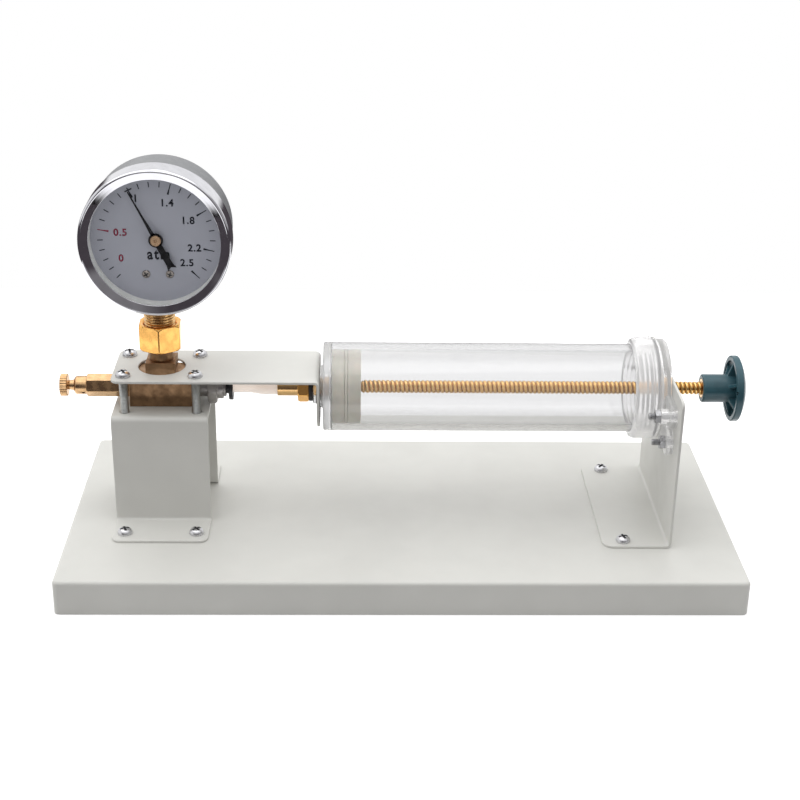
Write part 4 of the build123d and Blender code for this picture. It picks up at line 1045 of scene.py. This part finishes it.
dial = {
    "printProud": 0.04, "tickInner": 22.8, "tickOuter": 25.2, "tickWidth": 0.42, "mainInner": 20.4,
    "mainWidth": 0.90, "overlap": 0.3, "zeroAngle": 225.0, "anglePerUnit": 108.0, "ticks": 26, "redTick": 5,
    "crossbar": (23.7, 3.4, 0.6), "hole": 2.0, "edge": 0.1, "steps": 160, "strokeGain": 0.028,
    "digitHeight": 3.35, "digitSqueeze": 0.98, "digitSpacing": 1.12,
    "unitHeight": 4.4, "unitSqueeze": 0.80, "unitSpacing": 1.25,
}
scaleLabels = (  # words, place on the dial, red or not
    ("0", -15.5, -8.8, True), ("0.5", -15.3, 2.8, True), ("1", -8.0, 17.9, False), ("1.4", 5.5, 16.0, False),
    ("1.8", 14.1, 8.3, False), ("2.2", 16.1, -4.0, False), ("2.5", 12.6, -10.7, False),
)
unitLabel = ("atm", 0.55, -7.2)
mainTicks = (5, 10, 14, 18, 22, 25)


def dialPlace():
    # x to the right and z up on the dial's face, in the frame
    return shifted(gaugeX, reach("gauge_dial", "y")[0], gaugeZ)


def makeDial():
    front, back = reach("gauge_dial", "y")
    outline = rounded(section(front, back, dial["hole"], radiusOf("gauge_dial", "z")), dial["edge"])
    settle(lathed("dialPlate", outline, intoGauge, dial["steps"]), "gauge_dial")


def barMark(angle, inner, outer, width, innerWidth=None):
    # a thin raised bar that points at the middle of the dial
    half, innerHalf = width / 2, (innerWidth or width) / 2
    direction = Vector((cos(radians(angle)), 0, sin(radians(angle))))
    across = Vector((-direction.z, 0, direction.x))
    corners = [
        direction * inner - across * innerHalf, direction * outer - across * half,
        direction * outer + across * half, direction * inner + across * innerHalf,
    ]
    lifted = [corner + Vector((0, -dial["printProud"], 0)) for corner in corners]
    return corners + lifted


def ticksPiece(name, bars, finish):
    points, faces = [], []
    for bar in bars:
        faces += prismFaces(4, len(points))[1:]  # open where it lies on the dial
        points += bar
    settle(meshPiece(name, points, faces, dialPlace()), "gauge_dial", finish)


def printScale():
    black, red = [], []
    width = dial["tickWidth"]
    for tick in range(dial["ticks"]):
        angle = dial["zeroAngle"] - tick * dial["anglePerUnit"] / 10
        bars = red if tick == dial["redTick"] else black
        bars.append(barMark(angle, dial["tickInner"], dial["tickOuter"], width))
        if tick in mainTicks:
            foot = dial["tickInner"] + dial["overlap"]
            bars.append(barMark(angle, dial["mainInner"], foot, width, dial["mainWidth"]))
    inner, length, thickness = dial["crossbar"]
    angle = dial["zeroAngle"] - dial["anglePerUnit"]
    black.append(barMark(angle, inner, inner + thickness, length))
    ticksPiece("ticksBlack", black, inkBlack)
    ticksPiece("ticksRed", red, inkRed)


def printText(name, words, x, z, height, squeeze, finish, spacing):
    # letters of a given height, their middle at x and z
    data = bpy.data.curves.new(name, "FONT")
    data.body = words
    data.size = 1.0
    data.space_character = spacing
    data.offset = dial["strokeGain"]
    data.resolution_u = 4
    letters = newObject(name + "Letters", data)
    bpy.context.view_layer.update()
    flat = bpy.data.meshes.new_from_object(letters.evaluated_get(bpy.context.evaluated_depsgraph_get()))
    bpy.data.objects.remove(letters)
    low = [min(vert.co[axis] for vert in flat.vertices) for axis in range(2)]
    high = [max(vert.co[axis] for vert in flat.vertices) for axis in range(2)]
    scale = height / (high[1] - low[1])
    points = [
        (
            x + (vert.co.x - (low[0] + high[0]) / 2) * scale * squeeze,
            -dial["printProud"],
            z + (vert.co.y - (low[1] + high[1]) / 2) * scale,
        )
        for vert in flat.vertices
    ]
    faces = [list(face.vertices) for face in flat.polygons]
    piece = meshPiece(name, points, faces, dialPlace())
    skin = piece.modifiers.new("thickness", "SOLIDIFY")
    skin.thickness = dial["printProud"] * mm
    skin.offset = 0
    settle(piece, "gauge_dial", finish)


makeDial()
printScale()
for words, x, z, isRed in scaleLabels:
    printText(
        "scale_" + words.replace(".", "_"), words, x, z, dial["digitHeight"], dial["digitSqueeze"],
        inkRed if isRed else inkBlack, dial["digitSpacing"],
    )
printText("scale_unit", *unitLabel, dial["unitHeight"], dial["unitSqueeze"], inkBlack, dial["unitSpacing"])
print("dial printed")

pointer = {
    "angle": 117.0, "thickness": 0.4, "easing": 0.07, "notch": -13.4,
    # one side from the tip to the tail: place along it and distance from its middle line
    "side": (
        (24, 0.26), (10.8, 0.4464), (2.5, 0.868), (0, 2.52), (-2.5, 1.365), (-12.1, 1.45), (-14.5, 2.1),
    ),
    "bossRadius": 3.15, "bossHole": 1.45, "bossEasing": 0.1,
    # the hub's dimple, as depth behind the front and distance from the middle, and its shank
    "dimple": ((0.55, 0), (0.45, 0.35), (0.05, 0.62), (0, 0.8)),
    "hubEdge": 0.3, "hubLength": 1.2, "hubBackEdge": 0.05, "hubHole": 1.35,
}


def makePointer():
    # drawn along +X in its own axes, then turned to its rest angle
    front = reach("pointer", "y")[0]
    thick = pointer["thickness"]
    lower = [(x, -half) for x, half in reversed(pointer["side"])]
    outline = [*pointer["side"], (pointer["notch"], 0), *lower]
    points = [(x, z, level) for level in (0, thick) for x, z in outline]
    place = shifted(gaugeX, front + thick, gaugeZ) @ turned(-pointer["angle"], "Y") @ turned(90, "X")
    needle = easeEdges(meshPiece("needle", points, prismFaces(len(outline)), place), pointer["easing"])
    settle(needle, "pointer")
    boss = section(front, front + thick, pointer["bossHole"], pointer["bossRadius"])
    boss = lathed("needleBoss", rounded(boss, pointer["bossEasing"]), intoGauge, making["smallSteps"])
    settle(boss, "pointer")


def makePointerHub():
    front, back = reach("pointer_hub", "y")
    radius, edge, hole = radiusOf("pointer_hub", "z"), pointer["hubEdge"], pointer["hubHole"]
    end = front + pointer["hubLength"]
    outline = [
        *[(front + depth, away) for depth, away in pointer["dimple"]],
        (front, radius - edge), (front + edge, radius), (end - pointer["hubBackEdge"], radius),
        (end, hole), (back, hole), (back, 0),
    ]
    hub = lathed("needleHub", outline, intoGauge, making["smallSteps"], closed=False)
    settle(hub, "pointer_hub", hubBrass)


makePointer()
makePointerHub()
hiddenNodes = (
    "movement_front_plate", "movement_back_plate", "movement_pillars", "sector_gear", "pinion_arbor",
    "tip_link", "link_screw", "hairspring", "bourdon_tube", "tube_tip", "union_seal", "bleed_pad",
    "rod_retainer", "piston_ring",
)
for nodeName in hiddenNodes:
    # these keep their CAD shape and only take a finish
    cadNodes[nodeName].data.materials.clear()
    cadNodes[nodeName].data.materials.append(finishes[slotOf[nodeName]])
print("pointer and movement finished")


# clear cylinder and cap

tube = {
    "endWall": 3.4, "bore": 17.0, "bossRadius": 9.7, "bossLength": 1.5, "rounding": 0.7, "portPlay": 0.05,
    "threadFrom": 9.2, "threadTo": 0.6, "threadDepth": 0.35, "threadLead": 2.0, "threadFade": 0.8,
    "rowLength": 0.25, "steps": 144, "crestBelow": 0.05, "runIn": 0.4, "mouthEdge": 0.4, "mouthEase": 0.2,
    "floorEase": 0.6, "colour": (0.965, 0.965, 0.97), "rough": 0.03, "waviness": 0.001,
    "topShadeFrom": (0.80, 0.96), "topShadeShare": 0.80,
    "cloudyEdge": (-34.0, -30.5), "cloudyShare": 0.60, "clearShare": 0.96, "cloudyRough": 0.16,
}
cap = {
    # glow: painted light, the cap gives off a little light of its own
    "colour": (0.97, 0.965, 0.965), "rough": 0.12, "waviness": 0.004, "haze": 0.16, "glow": 0.105,
    "easing": 0.25, "gateFromEnd": 8.4, "gateTurn": -12,
    "gateFoot": 22.9, "gateHeight": 1.15, "gateRadius": 0.75, "gateTip": 0.35, "gateEase": 0.15,
    "gateSteps": 20,
}
tubePlastic = tubeFinish()
capPlastic = clearFinish(
    "capPlastic", cap["colour"], cap["rough"], plasticIndex, cap["waviness"], cap["haze"], cap["glow"],
)


def makeCylinder():
    left, right = reach("cylinder", "x")
    wall = left + tube["bossLength"]
    floor, bore = wall + tube["endWall"], tube["bore"]
    radius = radiusOf("cylinder", "z")
    crest = radius - tube["crestBelow"]
    start, end = right - tube["threadFrom"], right - tube["threadTo"]

    def threadRow(along):
        def at(share):
            phase = ((along - start) / tube["threadLead"] - share) % 1.0
            ridge = 0.5 + 0.5 * cos(phase * 2 * pi)
            fade = min(1, (along - start) / tube["threadFade"], (end - along) / tube["threadFade"])
            return along, crest - tube["threadDepth"] * (1 - ridge) * max(fade, 0)
        return at

    count = int((end - start) / tube["rowLength"])
    threads = [threadRow(start + (end - start) * index / count) for index in range(count + 1)]
    soft, smoothBelow = tube["rounding"], making["threadSmoothBelow"]
    port = radiusOf("barb_nipple", "z") + tube["portPlay"]
    before = rounded([
        (floor, port), (left, port), (left, tube["bossRadius"]), (wall, tube["bossRadius"]), (wall, radius),
    ], soft, closed=False)[:-1]
    edge = [
        (wall + soft * (1 - sin(radians(turn))), radius - soft * (1 - cos(radians(turn))))
        for turn in (90, 60, 30, 0)
    ]
    mouth, corner = tube["mouthEase"], tube["floorEase"]
    outline = before + edge + [(start - tube["runIn"], radius)] + threads + [
        (right, radius - tube["mouthEdge"]), (right, bore + mouth), (right - mouth, bore),
        (floor + corner, bore), (floor, bore - corner),
    ]
    cylinder = lathed("clearCylinder", outline, alongLine, tube["steps"], sharpAngle=smoothBelow)
    settle(cylinder, "cylinder", tubePlastic)


def makeCapGate():
    # the trimmed moulding gate on top of the cap
    foot, wide, ease = cap["gateFoot"], cap["gateRadius"], cap["gateEase"]
    top = foot + cap["gateHeight"]
    outline = [(foot, 0), (foot, wide), (top - ease, wide - ease), (top, cap["gateTip"]), (top, 0)]
    x = reach("end_cap", "x")[0] + cap["gateFromEnd"]
    place = shifted(x, lineY, axisZ) @ turned(cap["gateTurn"], "X")
    settle(lathed("capGate", outline, place, cap["gateSteps"], closed=False), "end_cap", capPlastic)


makeCylinder()
softenedNode("clearCap", "end_cap", cap["easing"], finish=capPlastic)
makeCapGate()
print("cylinder and cap made")


# piston, rod and knob

drive = {
    "crest": 2.98, "threadDepth": 0.55, "lead": 2.0, "profile": (0.0, 0.35, 0.8, 1.0, 1.0, 1.0, 0.8, 0.35),
    "steps": 40, "journal": 2.0, "journalSteps": 32, "gap": 0.3, "overlap": 0.2,
    "pistonEase": 0.08, "knobEase": 0.22, "insertEase": 0.2,
    "gold": (0.80, 0.50, 0.19), "rootShade": (0.54, 0.30, 0.095), "fullShadeBelow": 2.45, "brightAbove": 2.82,
}
rodBrass = brassFinish("rodBrass", drive["gold"], (1, 1, 1), 0.16, mottle=0.08)
# painted shade: the rod's thread roots are darkened
paintRootShade(rodBrass, drive["fullShadeBelow"], drive["brightAbove"], drive["rootShade"])


def makeRod():
    left, right = reach("threaded_rod", "x")
    start = reach("piston", "x")[1] + drive["gap"]
    thread = helixBar(
        "rodThread", start, right, drive["crest"], drive["threadDepth"], drive["lead"],
        drive["profile"], alongLine, drive["steps"],
    )
    settle(thread, "threaded_rod", rodBrass)
    neck = section(left, start + drive["overlap"], 0, drive["journal"])
    journal = lathed("rodJournal", neck, alongLine, drive["journalSteps"], closed=False)
    settle(journal, "threaded_rod", rodBrass)


makeRod()
softenedNode("pistonBody", "piston", drive["pistonEase"])
softenedNode("knobBody", "knob", drive["knobEase"])
softenedNode("knobInsert", "knob_insert", drive["insertEase"])
print("piston, rod and knob made")
